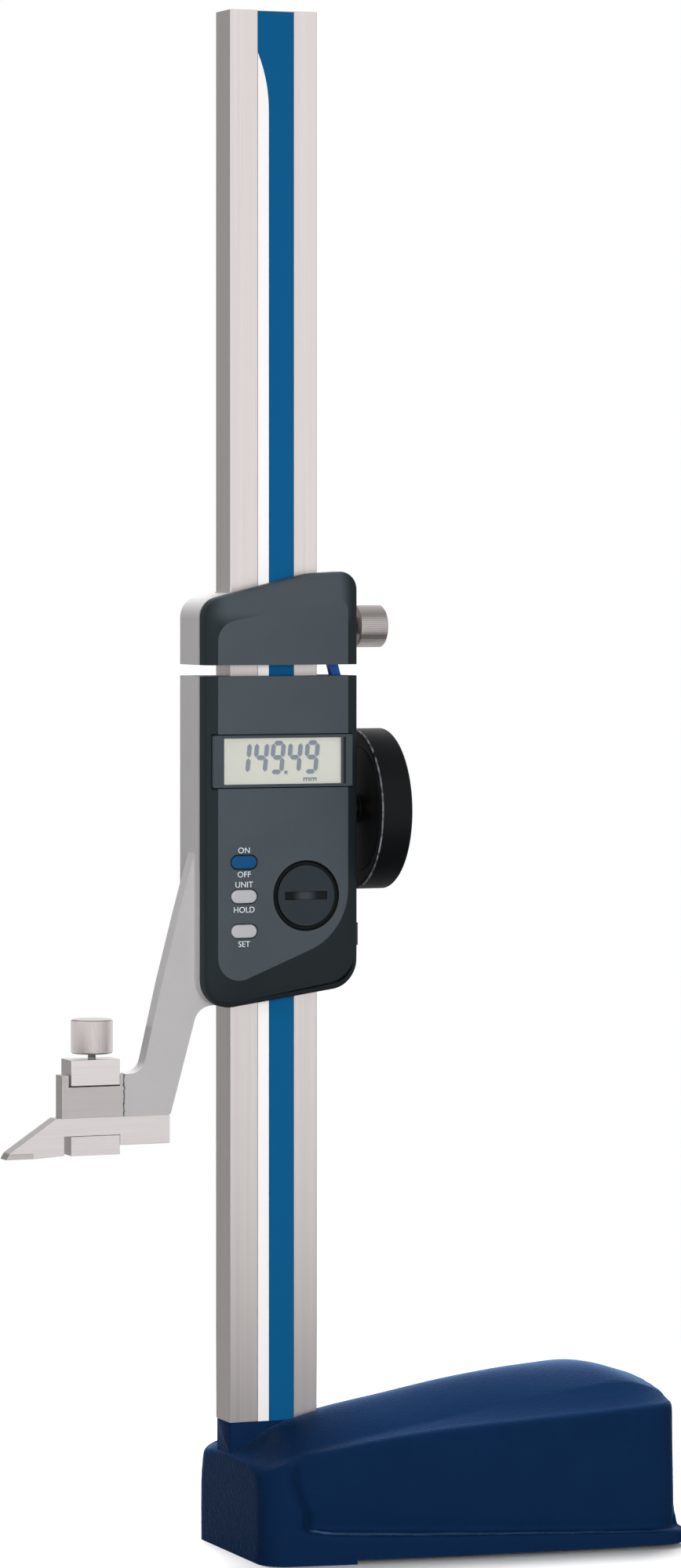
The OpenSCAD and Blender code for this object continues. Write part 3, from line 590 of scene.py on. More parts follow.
base = dict(
    left=-17.5, right=147.0, bodyRight=144.5, leftRound=9.0, rightRound=13.0, footHalf=37.8, widen=(31, 12.6),
    shift=9.3, skirt=5.0, step=1.5, voxel=0.95, rounds=4, pointsOf=(13, 6, 7, 13),
    boss=dict(x=17.2, y=7.45, low=20, high=48.0, edge=0.45), leftOut=(0.9, 14),
    rightOut=(1.1, 128, 14, 144, 3),
    ridge=[(-17.5, 35.3), (0, 45.6), (20, 51.1), (45, 55.3), (70, 59.5), (95, 62.3), (112, 63.2), (121, 63.4),
           (127, 63.2), (133, 62.1), (139, 60.1), (144.5, 58.3)],
    crown=[(-17.5, 35.3), (0, 40.2), (12, 42.2), (25, 44.4), (40, 47.0), (60, 50.1), (80, 53.7), (100, 57.1),
           (117, 59.4), (126, 60.2), (134, 59.4), (144.5, 55.4)],
    side=[(-17.5, 34.6), (0, 39.6), (12, 41.6), (25, 44.0), (40, 46.2), (60, 48.4), (85, 50.2), (103, 51.4),
          (122, 52.6), (134, 53.4), (144.5, 53.4)],
    foot=[(-17.5, 13.2), (1.3, 12.0), (6.5, 11.1), (15.7, 10.6), (27.3, 10.1), (42.5, 9.5), (88.3, 8.0),
          (125, 6.7), (147, 6.4)],
    ledge=[(-17.5, 20.8), (6.4, 19.4), (18, 18.8), (29.6, 17.7), (48.9, 16.3), (66.8, 14.4), (90.8, 12.4),
           (127.7, 10.7), (139.5, 11.7), (147, 12.5)])
grip = dict(start=-10.6, spread=13, top=40, drop=28.5, power=3.2, fade=9.5, deep=6.4, taper=0.017)
wall = dict(footIn=0.2, innerFoot=0.3, lift=0.4, thin=0.1, lowShare=1.5, topShare=0.85, roundShare=0.15,
            lean=2.1, under=1.5, underMore=0.6, round=3.4, out=2.2, shoulder=5.6, belowCrown=0.3,
            facetPower=1.4)
crest = dict(half=26, spread=0.035, margin=9, up=0.4, power=1.9)
relief = dict(low=-3, deep=1.7, front=(33.2, 34), back=(12, 4), sides=(35, 11), pad=40, past=(-80, 62))
bore = dict(x=(-9, 9), profile=[(0, -3), (6, -3), (6, 20), (3.3, 20), (3.3, 60), (0, 60)])


def slopeAt(points, i):
    a, b = points[max(0, i - 1)], points[min(len(points) - 1, i + 1)]
    return (b[1] - a[1]) / (b[0] - a[0])


def along(points, x):
    if x <= points[0][0]:
        return points[0][1]
    if x >= points[-1][0]:
        return points[-1][1]
    i = max(k for k in range(len(points) - 1) if points[k][0] <= x)
    w = points[i + 1][0] - points[i][0]
    t = (x - points[i][0]) / w
    return ((2 * t ** 3 - 3 * t ** 2 + 1) * points[i][1] + (t ** 3 - 2 * t ** 2 + t) * w * slopeAt(points, i)
            + (3 * t ** 2 - 2 * t ** 3) * points[i + 1][1] + (t ** 3 - t ** 2) * w * slopeAt(points, i + 1))


def ease(t):
    c = min(1.0, max(0.0, t))
    return c * c * (3 - 2 * c)


def roundLoss(d, r):
    return 0.0 if d >= r else r - math.sqrt(max(0.0, r * r - (r - d) ** 2))


def planHalf(x, right):
    t = (x - base["left"]) / (base["right"] - base["left"])
    width = base["footHalf"] + base["widen"][0] * t - base["widen"][1] * t * t
    return width - roundLoss(x - base["left"], base["leftRound"]) - roundLoss(right - x, base["rightRound"])


def hollow(x, h):
    start = grip["start"] + grip["spread"] * (max(0.0, grip["top"] - h) / grip["drop"]) ** grip["power"]
    return ease((x - start) / grip["fade"]) * (grip["deep"] - grip["taper"] * (x - base["left"]))


def halfSection(x):
    foot = planHalf(x, base["right"])
    footTop = along(base["foot"], x)
    start = [(foot - wall["footIn"], -base["skirt"]), (foot - wall["footIn"], 0.0), (foot, footTop)]
    onWall, onRound, onFacet, onCrest = base["pointsOf"]
    if x > base["bodyRight"]:
        left = 1 + sum(base["pointsOf"])
        inner, lifted = foot - wall["innerFoot"], footTop + wall["lift"]
        return start + [(inner * (left - i) / left, lifted) for i in range(1, left + 1)]
    w = planHalf(x, base["bodyRight"])
    crownW = min(crest["half"] + crest["spread"] * (x - base["left"]), w - crest["margin"])
    top, edge = along(base["ridge"], x) + crest["up"], along(base["crown"], x)
    side = min(edge - wall["belowCrown"], along(base["side"], x))
    low = along(base["ledge"], x)
    bend, thin = wall["round"], wall["thin"]
    shoulder = w - wall["topShare"] * hollow(x, side) - wall["shoulder"]
    out = start + [(w - wall["lowShare"] * hollow(x, low) - thin, footTop + wall["lift"])]
    for i in range(onWall):
        h = low + (side - bend - low) * i / (onWall - 1)
        deep, lean = hollow(x, h), ease((h - low) / (side - low))
        share = deep / hollow(60, 30)
        undercut = (wall["under"] + wall["underMore"] * lean) * share
        out.append((w - deep - thin - wall["lean"] * lean * (1 - share) - undercut, h))
    for i in range(1, onRound + 1):
        a = math.radians(90 / onRound * i)
        kept = 1 - wall["roundShare"] * math.sin(a)
        out.append((w - hollow(x, side) * kept - wall["out"] - bend * (1 - math.cos(a)),
                    side - bend + bend * math.sin(a)))
    for i in range(1, onFacet + 1):
        t = i / (onFacet + 1)
        out.append((shoulder + (crownW - shoulder) * t, side + (edge - side) * t ** wall["facetPower"]))
    for i in range(onCrest):
        t = 1 - i / (onCrest - 1)
        out.append((crownW * t, top - (top - edge) * t ** crest["power"]))
    return out


def stationsOf():
    left, right, bodyRight = base["left"], base["right"], base["bodyRight"]
    out = [left + base["leftRound"] * (1 - math.cos(math.radians(a))) for a in range(0, 91, 10)]
    x = out[-1] + base["step"]
    while x < bodyRight - base["rightRound"] - 0.5:
        out.append(x)
        x += base["step"]
    out += [bodyRight - base["rightRound"] * (1 - math.sin(math.radians(a))) for a in range(0, 91, 9)]
    out.append(bodyRight + 0.15)
    return out + [right - base["rightRound"] * (1 - math.sin(math.radians(a))) for a in range(60, 91, 6)]


def makeBase():
    left, right, shift = base["left"], base["right"], base["shift"]
    leftOut, leftFade = base["leftOut"]
    rightOut, rise, riseOver, fall, fallOver = base["rightOut"]
    rows = []
    for x in stationsOf():
        half = halfSection(x)
        at = x - leftOut * (1 - ease((x - left) / leftFade))
        at += rightOut * ease((x - rise) / riseOver) * (1 - ease((x - fall) / fallOver))
        rows.append([(at, -shift - d, h) for d, h in half]
                    + [(at, -shift + d, h) for d, h in reversed(half[:-1])])
    piece = cappedLoft("baseCasting", rows)
    remesh = piece.modifiers.new("cast", "REMESH")
    remesh.mode = "VOXEL"
    remesh.voxel_size = base["voxel"] * mm
    soften = piece.modifiers.new("soften", "SMOOTH")
    soften.factor = 0.5
    soften.iterations = base["rounds"]
    settle(piece)
    work = bmesh.new()
    work.from_mesh(piece.data)
    flat = bmesh.ops.bisect_plane(work, geom=work.verts[:] + work.edges[:] + work.faces[:],
                                  plane_co=(0, 0, 0), plane_no=(0, 0, -1), clear_outer=True)
    rim = [e for e in flat["geom_cut"] if isinstance(e, bmesh.types.BMEdge)]
    bmesh.ops.contextual_create(work, geom=rim)
    work.to_mesh(piece.data)
    work.free()
    boss = base["boss"]
    block = brick("castingBoss", -boss["x"], boss["x"], -boss["y"], boss["y"], boss["low"], boss["high"])
    cut(piece, edgeBroken(block, boss["edge"]), "UNION")
    y0, y1 = relief["past"]
    sides = [right - v for v in relief["sides"]]
    for x0, x1, front, back in ((left + relief["front"][0], right - relief["front"][1], y0, y1),
                                (right - relief["back"][0], right + relief["back"][1], y0, y1),
                                (*sides, y0, -shift - relief["pad"]), (*sides, relief["pad"] - shift, y1)):
        cut(piece, brick("relief", x0, x1, front, back, relief["low"], relief["deep"]))
    for x in bore["x"]:
        cut(piece, lathe("bore", bore["profile"], 48, "Z", (x, 0, 0)))
    return smooth(piece, 40)


place(makeBase(), "base", "base_paint", looks["basePaint"], "base_casting")
print("base casting done")


# Covers of the slider and of the clamp carriage: lofted from the outline to the raised panel

cover = dict(
    half=30.3, right=31.0, face=-16.9, back=-9.3, wall=1.8, seat=-15.2, low=53.2, high=178.5, carLow=182.7,
    carHigh=218.0, panelLeft=-25.7, panelRight=26.3,
    profile=[(0, -9.3), (0, -13.6), (0.012, -14.1), (0.04, -14.5), (0.08, -14.82), (0.14, -15.12),
             (0.22, -15.38), (0.35, -15.68), (0.5, -16.0), (0.7, -16.38), (0.88, -16.7), (0.95, -16.82),
             (0.985, -16.88), (1.0, -16.9)])
keys = dict(x=-15.5, heights=(109.1, 96.3, 83.3), length=10.1, width=4.9, play=0.2)
cell = dict(x=9.5, h=96.1, lid=11.4, groove=13.0, can=10.3)
bezel = dict(half=28.0, low=137.0, high=156.5, hole=25.5)
port = dict(low=76.8, high=85.4, across=(25, 33), deep=(-14.2, -10.7))


def resampled(path, anchors, counts):
    lengths = [0.0]
    for a, b in zip(path, path[1:]):
        lengths.append(lengths[-1] + math.dist(a, b))

    def at(s):
        for i in range(len(path) - 1):
            if lengths[i + 1] >= s - 1e-9:
                t = (s - lengths[i]) / max(1e-9, lengths[i + 1] - lengths[i])
                return tuple(a + (b - a) * t for a, b in zip(path[i], path[i + 1]))
        return path[-1]

    stops = [0.0]
    for anchor in anchors:
        near = min(range(401), key=lambda k: math.dist(at(lengths[-1] * k / 400), anchor))
        stops.append(lengths[-1] * near / 400)
    stops.append(lengths[-1])
    out = []
    for a, b, count in zip(stops, stops[1:], counts):
        out += [at(a + (b - a) * k / count) for k in range(count)]
    return out + [path[-1]]


def coverShell(name, outer, panel, outerAnchors, panelAnchors, counts):
    a = resampled(roundedPath(outer, 24, False), outerAnchors, counts)
    b = resampled(roundedPath(panel, 24, False), panelAnchors, counts)
    rows = [[(p[0] + (q[0] - p[0]) * s, y, p[1] + (q[1] - p[1]) * s + reading) for p, q in zip(a, b)]
            for s, y in cover["profile"]]
    points, faces = looped(rows, closed=False)
    count, last = len(a), len(rows) - 1
    faces.append(tuple(range(count)))
    faces.append(tuple(range(last * count, (last + 1) * count)))
    starts = [r * count for r in range(last + 1)]
    faces.append(tuple(starts) + tuple(start + count - 1 for start in reversed(starts)))
    return meshPiece(name, points, faces)


def insetShape(low, high, inset):
    left, right = inset - cover["half"], cover["right"] - inset
    return [(left, low + 1.02 * inset, 10 - inset), (right, low + 8.7 + 1.02 * inset, 11 - inset),
            (right, high - inset, 0), (left, high - inset, 0)]


def slotPath(length, width):
    half, steps = (length - width) / 2, 12
    out = []
    for side, start in ((1, -90), (-1, 90)):
        for k in range(steps + 1):
            a = math.radians(start + 180 * k / steps)
            out.append((side * half + width / 2 * math.cos(a), width / 2 * math.sin(a)))
    return out


def keyLoft(name, h, steps):
    rows = []
    for grow, y in steps:
        path = slotPath(keys["length"] + 2 * grow, keys["width"] + 2 * grow)
        rows.append([(keys["x"] + x, y, h + z + reading) for x, z in path])
    return cappedLoft(name, rows)


def cutWindow(piece, name, half, back, margin):
    cut(piece, brick(name, -half, half, cover["face"] - 1, back, bezel["low"] - margin + reading,
                     bezel["high"] + margin + reading))


def makeSliderCover():
    low, high, half, right = cover["low"], cover["high"], cover["half"], cover["right"]
    inLeft, inRight = cover["panelLeft"], cover["panelRight"]
    outer = [(-half, high, 0), (-half, low, 10), (right, low + 8.7, 11), (right, high, 0)]
    panel = [(inLeft, high, 0), (inLeft, 60.9, 8.5), (inRight, 82.6, 25), (inRight, high, 0)]
    piece = coverShell("sliderCover", outer, panel, [(-half, 68), (-20, 54.6), (16, 60), (right, 78)],
                       [(inLeft, 74), (-17, 64.5), (6, 74), (inRight, 100)], (24, 26, 26, 26, 30))
    face, seat, play = cover["face"], cover["seat"], keys["play"]
    inner = roundedPath(insetShape(low, high, cover["wall"]), 12)
    cut(piece, prism("cavity", inner, seat, cover["back"] + 1, reading))
    cutWindow(piece, "bezelSeat", bezel["half"] + 0.05, face + 0.9, 0.4)
    cutWindow(piece, "displayHole", bezel["hole"], seat + 1, -0.6)
    for h in keys["heights"]:
        cut(piece, keyLoft("keyHole", h, [(play + 0.6, face - 0.35), (play, face + 0.25), (play, seat + 1)]))
    groove, lid, can = cell["groove"], cell["lid"], cell["can"]
    rim = [(0, face - 1), (groove + 0.35, face - 1), (groove + 0.35, face - 0.05), (groove, face + 0.35),
           (groove - 0.1, face + 0.75), (groove - 0.5, face + 1.05), (lid + 0.3, face + 1.05),
           (lid + 0.1, face + 0.9), (lid + 0.1, seat + 0.3), (can, seat + 0.3), (can, seat + 3),
           (0, seat + 3)]
    cut(piece, lathe("batterySeat", rim, 96, "Y", (cell["x"], 0, cell["h"] + reading)))
    cut(piece, brick("portHole", *port["across"], *port["deep"], port["low"] - 0.2 + reading,
                     port["high"] + 0.2 + reading))
    return smooth(piece, 24)


def makeClampCover():
    low, high, half, right = cover["carLow"], cover["carHigh"], cover["half"], cover["right"]
    inLeft, inRight, wide = cover["panelLeft"], cover["panelRight"], cover["wall"]
    outer = [(-half, low, 0), (-half, high - 11.4, 8), (12, high - 1.1, 30), (right, high, 6.5),
             (right, low, 0)]
    panel = [(inLeft, low, 0), (inLeft, low + 15.1, 8), (inRight, low + 25.4, 4.5), (inRight, low, 0)]
    piece = coverShell("clampCover", outer, panel,
                       [(-half, 196), (-22, 208), (12, 216.2), (24, 217.5), (right, 211)],
                       [(inLeft, 190), (-18, 199), (8, 204.5), (21, 207.2), (inRight, 203.5)],
                       (16, 22, 22, 16, 18, 18))
    inner = [(-half + wide, low + wide, 0), (right - wide, low + wide, 0), (right - wide, high - 1.9, 4.7),
             (12, high - 3, 30), (-half + wide, high - 13.3, 6.2)]
    cut(piece, prism("clampCavity", roundedPath(inner, 12), cover["seat"], cover["back"] + 1, reading))
    return smooth(piece, 24)


place(makeSliderCover(), "slider", "cover_plastic", looks["cover"], "slider_cover")
place(makeClampCover(), "carriage", "cover_plastic", looks["cover"], "clamp_cover")
print("covers done")


# Castings, steel pieces and small mouldings: the CAD shape with its edges broken

portOut = 0.7  # the port cover follows the cover, which is wider than in the CAD
edged = [
    ("slider_body", 0.35, "slider", "casting_paint", "castingPaint"),
    ("clamp_body", 0.35, "carriage", "casting_paint", "castingPaint"),
    ("column", 0.45, "base", "ground_steel", "column"),
    ("scriber_clamp", 0.12, "stirrup", "ground_steel", "scriber"),
    ("scriber", 0.12, "scriber", "ground_steel", "scriber"),
    ("display_bezel", 0.18, "slider", "cover_plastic", "bezel"),
    ("battery_cover", 0.2, "battery_cover", "cover_plastic", "lid"),
    ("data_port_cover", 0.25, "data_port_cover", "cover_plastic", "portCover"),
]
for node, width, body, slotName, look in edged:
    piece = bevelledNode(node, width)
    if node == "data_port_cover":
        piece.data.transform(Matrix.Translation((portOut * mm, 0, 0)))
    place(piece, body, slotName, looks[look], node)
print("edged pieces done")


def makeKey(h, name):
    top = cover["face"] - 0.45
    rows = [(0.7, -14.4), (0.7, -15.1), (0.0, -15.1), (0.0, top + 0.35), (-0.08, top + 0.16),
            (-0.25, top + 0.04), (-0.55, top - 0.02), (-1.2, top - 0.06)]
    return smooth(keyLoft(name, h, rows), 40)


for h, name, look, slotName in zip(keys["heights"], ("key_on", "key_unit", "key_set"),
                                   ("keyBlue", "keyGrey", "keyGrey"), ("key_blue", "key_grey", "key_grey")):
    place(makeKey(h, name + ".cap"), name, slotName, looks[look], name)


# Handwheel: one turned profile

wheel = dict(y=-0.9, h=127.7, r=30.4, left=34.6, right=47.0, web=36.1, ring=24.0, bore=2.5, hubLeft=35.4)


def makeWheel():
    r, left, right, bored, hub = wheel["r"], wheel["left"], wheel["right"], wheel["bore"], wheel["hubLeft"]
    web, ring = wheel["web"], wheel["ring"]
    profile = [(bored, hub), (5.6, hub), (6.0, web), (ring - 0.5, web), (ring - 0.2, web + 0.35),
               (ring + 0.2, web + 0.35), (ring + 0.5, web), (r - 3.4, web), (r - 2.9, left), (r - 0.4, left),
               (r, left + 0.4), (r, right - 0.8), (r - 0.8, right), (r - 3.2, right), (r - 5, right - 1.5),
               (9, right - 2.0), (8, right - 1.2), (bored, right - 1.2)]
    shape = softened(profile, 0.3) + [(bored, hub)]
    return smooth(lathe("handwheel.turned", shape, 180, "X", (0, wheel["y"], wheel["h"] + reading)), 35)


place(makeWheel(), "handwheel", "wheel_black", looks["wheel"], "handwheel")


# Knobs and the thread: bodies on the lathe, ridges and thread by geometry nodes

def endShapeTree(tree, source, result, geometry):
    whole = addNode(tree, "GeometryNodeRealizeInstances", Geometry=geometry)
    finished = addNode(tree, "GeometryNodeSetMaterial", Geometry=whole.outputs[0],
                       Material=source["Material"])
    feed(tree, result, Geometry=finished.outputs[0])
    return tree


def ridgeTree():
    tree, source, result = startTree("GeometryNodeTree", "knurlRidges", [
        ("Count", "Int", 96), ("Radius", "Float", 0.0077), ("Length", "Float", 0.01),
        ("Ridge Size", "Float", 0.0002), ("Material", "Material", None)], [("Geometry", "Geometry")])
    ring = addNode(tree, "GeometryNodeMeshCircle", Vertices=source["Count"], Radius=source["Radius"])
    bar = addNode(tree, "GeometryNodeMeshCylinder", Vertices=3, Radius=source["Ridge Size"],
                  Depth=source["Length"])
    index = addNode(tree, "GeometryNodeInputIndex")
    angle = times(tree, maths(tree, "DIVIDE", index.outputs[0], source["Count"]), 2 * math.pi)
    turn = addNode(tree, "ShaderNodeCombineXYZ", Z=angle)
    copies = addNode(tree, "GeometryNodeInstanceOnPoints", Points=ring.outputs[0],
                     Instance=bar.outputs[0], Rotation=turn.outputs[0])
    return endShapeTree(tree, source, result, copies.outputs[0])


def threadTree():
    tree, source, result = startTree("GeometryNodeTree", "screwThread", [
        ("Radius", "Float", 0.0015), ("Turns", "Float", 8.0), ("Length", "Float", 0.004),
        ("Depth", "Float", 0.0002), ("Material", "Material", None)], [("Geometry", "Geometry")])
    coil = addNode(tree, "GeometryNodeCurveSpiral", Resolution=36, Rotations=source["Turns"],
                   Height=source["Length"], Start_Radius=source["Radius"], End_Radius=source["Radius"])
    section = addNode(tree, "GeometryNodeCurvePrimitiveCircle", Resolution=4, Radius=source["Depth"])
    swept = addNode(tree, "GeometryNodeCurveToMesh", Curve=coil.outputs[0],
                    Profile_Curve=section.outputs[0], Fill_Caps=True)
    return endShapeTree(tree, source, result, swept.outputs[0])


def grown(name, tree, material, matrix, **values):
    piece = newObject(name, bpy.data.meshes.new(name))
    maker = piece.modifiers.new("maker", "NODES")
    maker.node_group = tree
    for item in tree.interface.items_tree:
        if item.item_type == "SOCKET" and item.in_out == "INPUT":
            maker[item.identifier] = {"Material": material, **values}[item.name.replace(" ", "")]
    settle(piece)
    piece.data.transform(matrix)
    tidyFaces(piece, 0.0005)
    return piece


ridges, thread = ridgeTree(), threadTree()
clampKnob = dict(r=7.9 - 0.12, long=11.3, at=(35.4, 0, cover["carLow"] + 14.1))
tipKnob = dict(r=7.8 - 0.12, long=12.7, at=(-69.6, 0.4, 38.2))
knurl = dict(count=98, sunk=0.09, size=0.21, margin=1.0)
tipScrew = dict(low=26.02, core=1.38, long=12.2, coil=1.36, turns=22.0, threaded=11.4, deep=0.22, up=0.4)


def makeKnob(name, knob, profile, axis, look):
    x, y, z = knob["at"]
    body = lathe("knobBody", profile, 160, axis, (x, y, z + reading))
    half = knob["long"] / 2
    if axis == "X":
        turn = Matrix.Translation(((x + half) * mm, 0, (z + reading) * mm))
        turn = turn @ Matrix.Rotation(math.pi / 2, 4, "Y")
    else:
        turn = Matrix.Translation((x * mm, y * mm, (z + reading + half) * mm))
    fluted = grown("knobRidges", ridges, looks[look], turn, Count=knurl["count"],
                   Radius=(knob["r"] - knurl["sunk"]) * mm, Length=(knob["long"] - knurl["margin"]) * mm,
                   RidgeSize=knurl["size"] * mm)
    return smooth(joined(name, [body, fluted]), 30)


def makeClampKnob():
    r, long = clampKnob["r"], clampKnob["long"]
    profile = softened([(0, 0), (r - 0.4, 0), (r, 0.4), (r, long - 0.4), (r - 0.4, long), (r - 2.1, long),
                        (r - 2.3, long - 0.4), (0, long - 0.4)], 0.15, 3)
    return makeKnob("clampKnob.fluted", clampKnob, profile, "X", "knobSide")


def makeTipKnob():
    r, tall = tipKnob["r"], tipKnob["long"]
    profile = softened([(1.6, 0), (r - 0.4, 0), (r, 0.4), (r, tall - 0.4), (r - 0.4, tall),
                        (r - 1.6, tall - 0.05), (0, tall)], 0.15, 3)
    return makeKnob("scriberKnob.fluted", tipKnob, [(0, 0.01)] + profile, "Z", "knob")


def makeTipScrew():
    at = (*tipKnob["at"][:2], tipScrew["low"] + reading)
    r, long = tipScrew["core"], tipScrew["long"]
    core = lathe("screwCore", [(0, 0), (r - 0.18, 0), (r, 0.2), (r, long), (0, long)], 48, "Z", at)
    spot = Matrix.Translation(Vector(at) * mm + Vector((0, 0, tipScrew["up"] * mm)))
    coil = grown("screwCoil", thread, looks["hardware"], spot, Radius=tipScrew["coil"] * mm,
                 Turns=tipScrew["turns"], Length=tipScrew["threaded"] * mm, Depth=tipScrew["deep"] * mm)
    return smooth(joined("scriberScrew.threaded", [core, coil]), 35)


place(makeClampKnob(), "clamp_screw", "knob_steel", looks["knobSide"], "clamp_knob")
place(makeTipKnob(), "scriber_screw", "knob_steel", looks["knob"], "scriber_knob")
place(makeTipScrew(), "scriber_screw", "bright_hardware", looks["hardware"], "scriber_screw")
print("keys, wheel and knobs done")


# Display digits and key legends

digits = dict(rights=(-11.82, -4.88, 1.78, 8.64, 15.51), width=5.7, low=141.8, high=154.3, stroke=1.7,
              slant=5.5, y=-15.78, thick=0.05, gap=0.14, shade=(0.06, 0.3),
              dot=[(1.05, 141.85), (2.25, 141.85), (2.35, 143.05), (1.15, 143.05)])
segmentsOf = {"1": "bc", "4": "bcfg", "9": "abcdfg"}
unitMark = dict(starts=(8.7, 11.5), strokes=[
    (0, 2.6, 139.9, 140.4), (0, 0.5, 139.0, 139.9), (1.05, 1.55, 139.0, 139.9), (2.1, 2.6, 139.0, 139.9)])
legend = dict(size=3.1, thick=0.03, out=0.03, rows=[
    ("legendOn", "ON", 112.5), ("legendOff", "OFF", 103.5), ("legendUnit", "UNIT", 99.7),
    ("legendHold", "HOLD", 90.3), ("legendSet", "SET", 77.5)])


def segmentShape(kind):
    w, s, gap = digits["width"], digits["stroke"], digits["gap"]
    low, high = digits["low"], digits["high"]
    mid = (low + high) / 2
    level = {"a": high - s / 2, "g": mid, "d": low + s / 2}
    if kind in level:
        z = level[kind]
        x0, x1 = gap + s / 2, w - gap - s / 2
        return [(x0, z), (x0 + s / 2, z + s / 2), (x1 - s / 2, z + s / 2), (x1, z), (x1 - s / 2, z - s / 2),
                (x0 + s / 2, z - s / 2)]
    x = w - s / 2 if kind in "bc" else s / 2
    z0, z1 = (mid, high - s / 2) if kind in "bf" else (low + s / 2, mid)
    z0, z1 = z0 + gap, z1 - gap
    return [(x, z0), (x + s / 2, z0 + s / 2), (x + s / 2, z1 - s / 2), (x, z1), (x - s / 2, z1 - s / 2),
            (x - s / 2, z0 + s / 2)]


def makeDigits(name, y, shift):
    lean = math.tan(math.radians(digits["slant"]))
    shapes = []
    for right, figure in zip(digits["rights"], "14949"):
        for kind in segmentsOf[figure]:
            shapes.append([(right - digits["width"] + x - (digits["high"] - z) * lean, z)
                           for x, z in segmentShape(kind)])
    shapes.append(digits["dot"])
    moved = [[(x + shift, z - shift) for x, z in shape] for shape in shapes]
    return joined(name, [prism("stroke", shape, y, y + digits["thick"], reading) for shape in moved])


def makeUnitMark(name, y):
    back = y + digits["thick"]
    return joined(name, [brick("stroke", start + x0, start + x1, y, back, z0 + reading, z1 + reading)
                         for start in unitMark["starts"] for x0, x1, z0, z1 in unitMark["strokes"]])


def lettering(name, text, x, y, h):
    curve = bpy.data.curves.new(name, "FONT")
    curve.body = text
    curve.size = legend["size"] * mm
    curve.align_x = "CENTER"
    curve.extrude = legend["thick"] * mm
    curve.resolution_u = 4
    source = newObject(name + ".text", curve)
    deps = bpy.context.evaluated_depsgraph_get()
    mesh = bpy.data.meshes.new_from_object(source.evaluated_get(deps), depsgraph=deps)
    bpy.data.objects.remove(source)
    spot = Matrix.Translation((x * mm, y * mm, (h + reading) * mm))
    mesh.transform(spot @ Matrix.Rotation(math.pi / 2, 4, "X"))
    return newObject(name, mesh)


behind, aside = digits["shade"]
place(makeDigits("displayDigits", digits["y"], 0.0), "slider", "part_black", looks["digit"])
place(makeDigits("digitShadows", digits["y"] + behind, aside), "slider", "display_grey", looks["digitShade"])
place(makeUnitMark("displayUnit", digits["y"]), "slider", "part_black", looks["digit"])
for name, text, h in legend["rows"]:
    piece = lettering(name, text, keys["x"], cover["face"] - legend["out"], h)
    place(piece, "slider", "key_grey", looks["legend"])
print("display and legends done")


# CAD nodes that keep their own shape, by the material each one gets

kept = {
    "board": "scale_tape reading_head circuit_board", "film": "scale_film", "rubber": "contact_strips",
    "darkScrew": "column_screws gib_screws cover_screws handwheel_screw clamp_cover_screws",
    "hardware": "column_pins front_plate_screws handwheel_shaft link_screw clamp_stud", "cell": "battery",
    "brass": "gib_strip shaft_bushes drive_pinion clamp_shoe", "plate": "front_plate carriage_plate",
    "black": "key_switches data_connector", "display": "display_glass", "window": "display_window",
    "bronze": "battery_contact carriage_spring", "linkBlue": "link_rack", "carbide": "carbide_tip",
}
for look, names in kept.items():
    for node in names.split():
        nodes[node].data.materials.clear()
        nodes[node].data.materials.append(looks[look])
print("CAD nodes finished")


# Floor, light and camera; lengths here are in m

floor = dict(rings=(0.001, 0.4, 1.6), points=96, fade=(0.28, 0.62), pale=0.93, mirrored=(0.6, 0.17),
             bounced=(0.2, 0.08), nearBase=0.04, behindFrom=(-0.12, 0.12), nearFrom=(-0.66, -0.24))
sky = dict(mirror=0.98, high=(0.45, 0.9, -0.6), right=(0.5, 0.9, -0.5), back=(0.15, 0.7), left=(0.25, -0.15),
           backLeft=-0.64, fill=0.08, front=(0.3, -0.8, 0.16), rise=(-0.1, 0.8, 0.14),
           leftSide=(-0.3, -0.9, -0.6))
middle = (0.03, 0, 0.25)
lamps = {
    "keyLamp": dict(at=(-0.3, -1.85, 0.35), aim=middle, energy=18.5, size=1.0),
    "backLamp": dict(at=(0.2, 0.95, 1.75), aim=middle, energy=78.0, size=1.6),
    "gapLamp": dict(at=(-0.55, -1.6, 0.37), aim=middle, energy=7.5, size=0.4),
    "sideSpot": dict(kind="SPOT", at=(-1.5, -0.25, 0.5), aim=(-0.03, 0, 0.325), energy=29.0,
                     spot_size=math.radians(18), spot_blend=0.7, shadow_soft_size=0.12),
}
camera = dict(lens=134.1, sensor_width=36, shift_y=-0.15, clip_start=0.05, clip_end=30)
viewpoint = dict(at=(-0.79929, -2.05290, 0.37567), turn=(90, 0, -22))


def grey(value):
    return (value, value, value, 1)


def mixShader(tree, factor, first, second):
    return addNode(tree, "ShaderNodeMixShader", i0=factor, i1=first, i2=second).outputs[0]


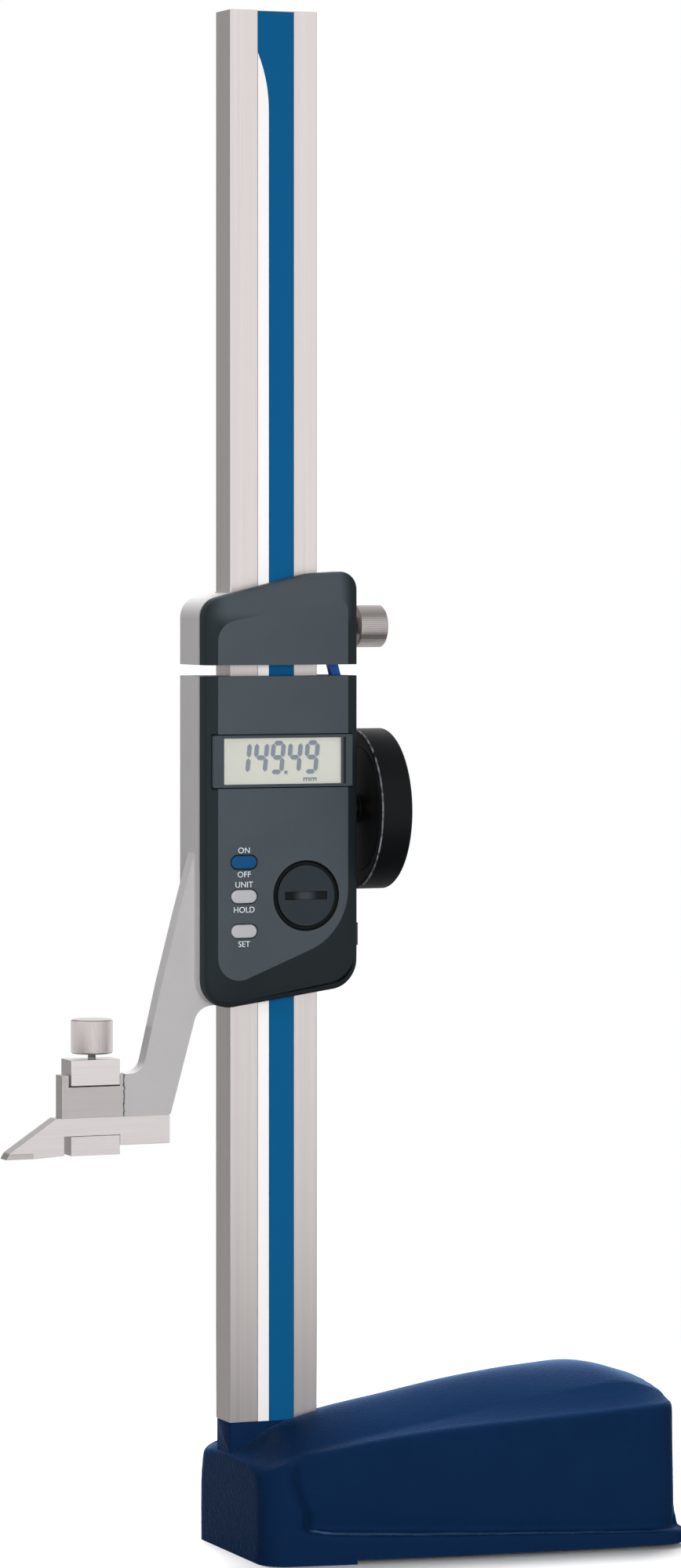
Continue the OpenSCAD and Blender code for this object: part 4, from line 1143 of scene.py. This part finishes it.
def makeFloor():
    turns = [2 * math.pi * k / floor["points"] for k in range(floor["points"])]
    points, faces = looped([[(r / mm * math.cos(a), r / mm * math.sin(a), 0) for a in turns]
                            for r in floor["rings"]])
    piece = meshPiece("floor", points, faces + [tuple(range(floor["points"]))])
    mat, tree, skin, spot = startMaterial("floorCard", Roughness=0.9, Specular_IOR_Level=0.1)
    path = tree.nodes.new("ShaderNodeLightPath").outputs
    seen, depth = path["Is Camera Ray"], axes(tree, spot)["Y"]
    behindBase = softStep(tree, depth, *floor["behindFrom"])
    front, back = floor["mirrored"]
    # Painted shade in reflections: seen by reflected rays, the floor is darker near the base, which darkens
    # the column's foot.
    shaded = mixed(tree, softStep(tree, depth, *floor["nearFrom"]), grey(front), grey(floor["nearBase"]))
    bounced = mixed(tree, behindBase, *[grey(v) for v in floor["bounced"]])
    reflected = mixed(tree, path["Is Glossy Ray"], bounced, mixed(tree, behindBase, shaded, grey(back)))
    card = mixed(tree, seen, reflected, grey(floor["pale"]))
    color = useGroup(tree, "shift", Color=card, Shade=noiseOf(tree, spot, 30.0, 2.0), Amount=0.005)
    feed(tree, skin, Base_Color=color.outputs["Color"])
    far = softStep(tree, vectorMaths(tree, "LENGTH", Vector=spot).outputs["Value"], *floor["fade"])
    glow = addNode(tree, "ShaderNodeEmission", Color=grey(1), Strength=1.0).outputs[0]
    out = next(n for n in tree.nodes if n.type == "OUTPUT_MATERIAL")
    feed(tree, out, Surface=mixShader(tree, times(tree, far, seen), skin.outputs[0], glow))
    piece.data.materials.append(mat)


def makeWorld():
    world = bpy.data.worlds.new("studio")
    scene.world = world
    world.use_nodes = True
    tree = world.node_tree
    tree.nodes.clear()
    path = tree.nodes.new("ShaderNodeLightPath").outputs
    x, y, z = axes(tree, tree.nodes.new("ShaderNodeTexCoord").outputs["Generated"])

    def added(start, value, low, high, amount):
        return maths(tree, "MULTIPLY_ADD", softStep(tree, value, low, high), amount, start)

    def light(strength):
        return addNode(tree, "ShaderNodeBackground", Color=grey(1), Strength=strength).outputs[0]

    backLeft = times(tree, softStep(tree, y, *sky["back"]), softStep(tree, x, *sky["left"]))
    mirror = times(tree, added(sky["mirror"], z, *sky["high"]), added(1.0, x, *sky["right"]),
                   maths(tree, "MULTIPLY_ADD", backLeft, sky["backLeft"], 1.0))
    fill = added(added(sky["fill"], z, *sky["rise"]), y, *sky["front"])
    fill = times(tree, fill, added(1.0, x, *sky["leftSide"]))
    lit = mixShader(tree, path["Is Glossy Ray"], light(fill), light(mirror))
    seen = maths(tree, "MAXIMUM", path["Is Camera Ray"], path["Is Transmission Ray"])
    addNode(tree, "ShaderNodeOutputWorld", Surface=mixShader(tree, seen, lit, light(1.0)))


def makeLamp(name, at, aim, kind="AREA", **settings):
    lamp = bpy.data.lights.new(name, kind)
    if kind == "AREA":
        lamp.shape = "DISK"
    for key, value in settings.items():
        setattr(lamp, key, value)
    piece = newObject(name, lamp)
    piece.location = at
    piece.rotation_euler = (Vector(aim) - Vector(at)).to_track_quat("-Z", "Y").to_euler()
    piece.visible_glossy = False


def makeCamera():
    lens = bpy.data.cameras.new("camera")
    for key, value in camera.items():
        setattr(lens, key, value)
    piece = newObject("camera", lens)
    piece.location = viewpoint["at"]
    piece.rotation_euler = [math.radians(a) for a in viewpoint["turn"]]
    scene.camera = piece


makeFloor()
makeWorld()
for name, lamp in lamps.items():
    makeLamp(name, **lamp)
makeCamera()
scene.view_settings.view_transform = "Standard"
print("stage, light and camera done")
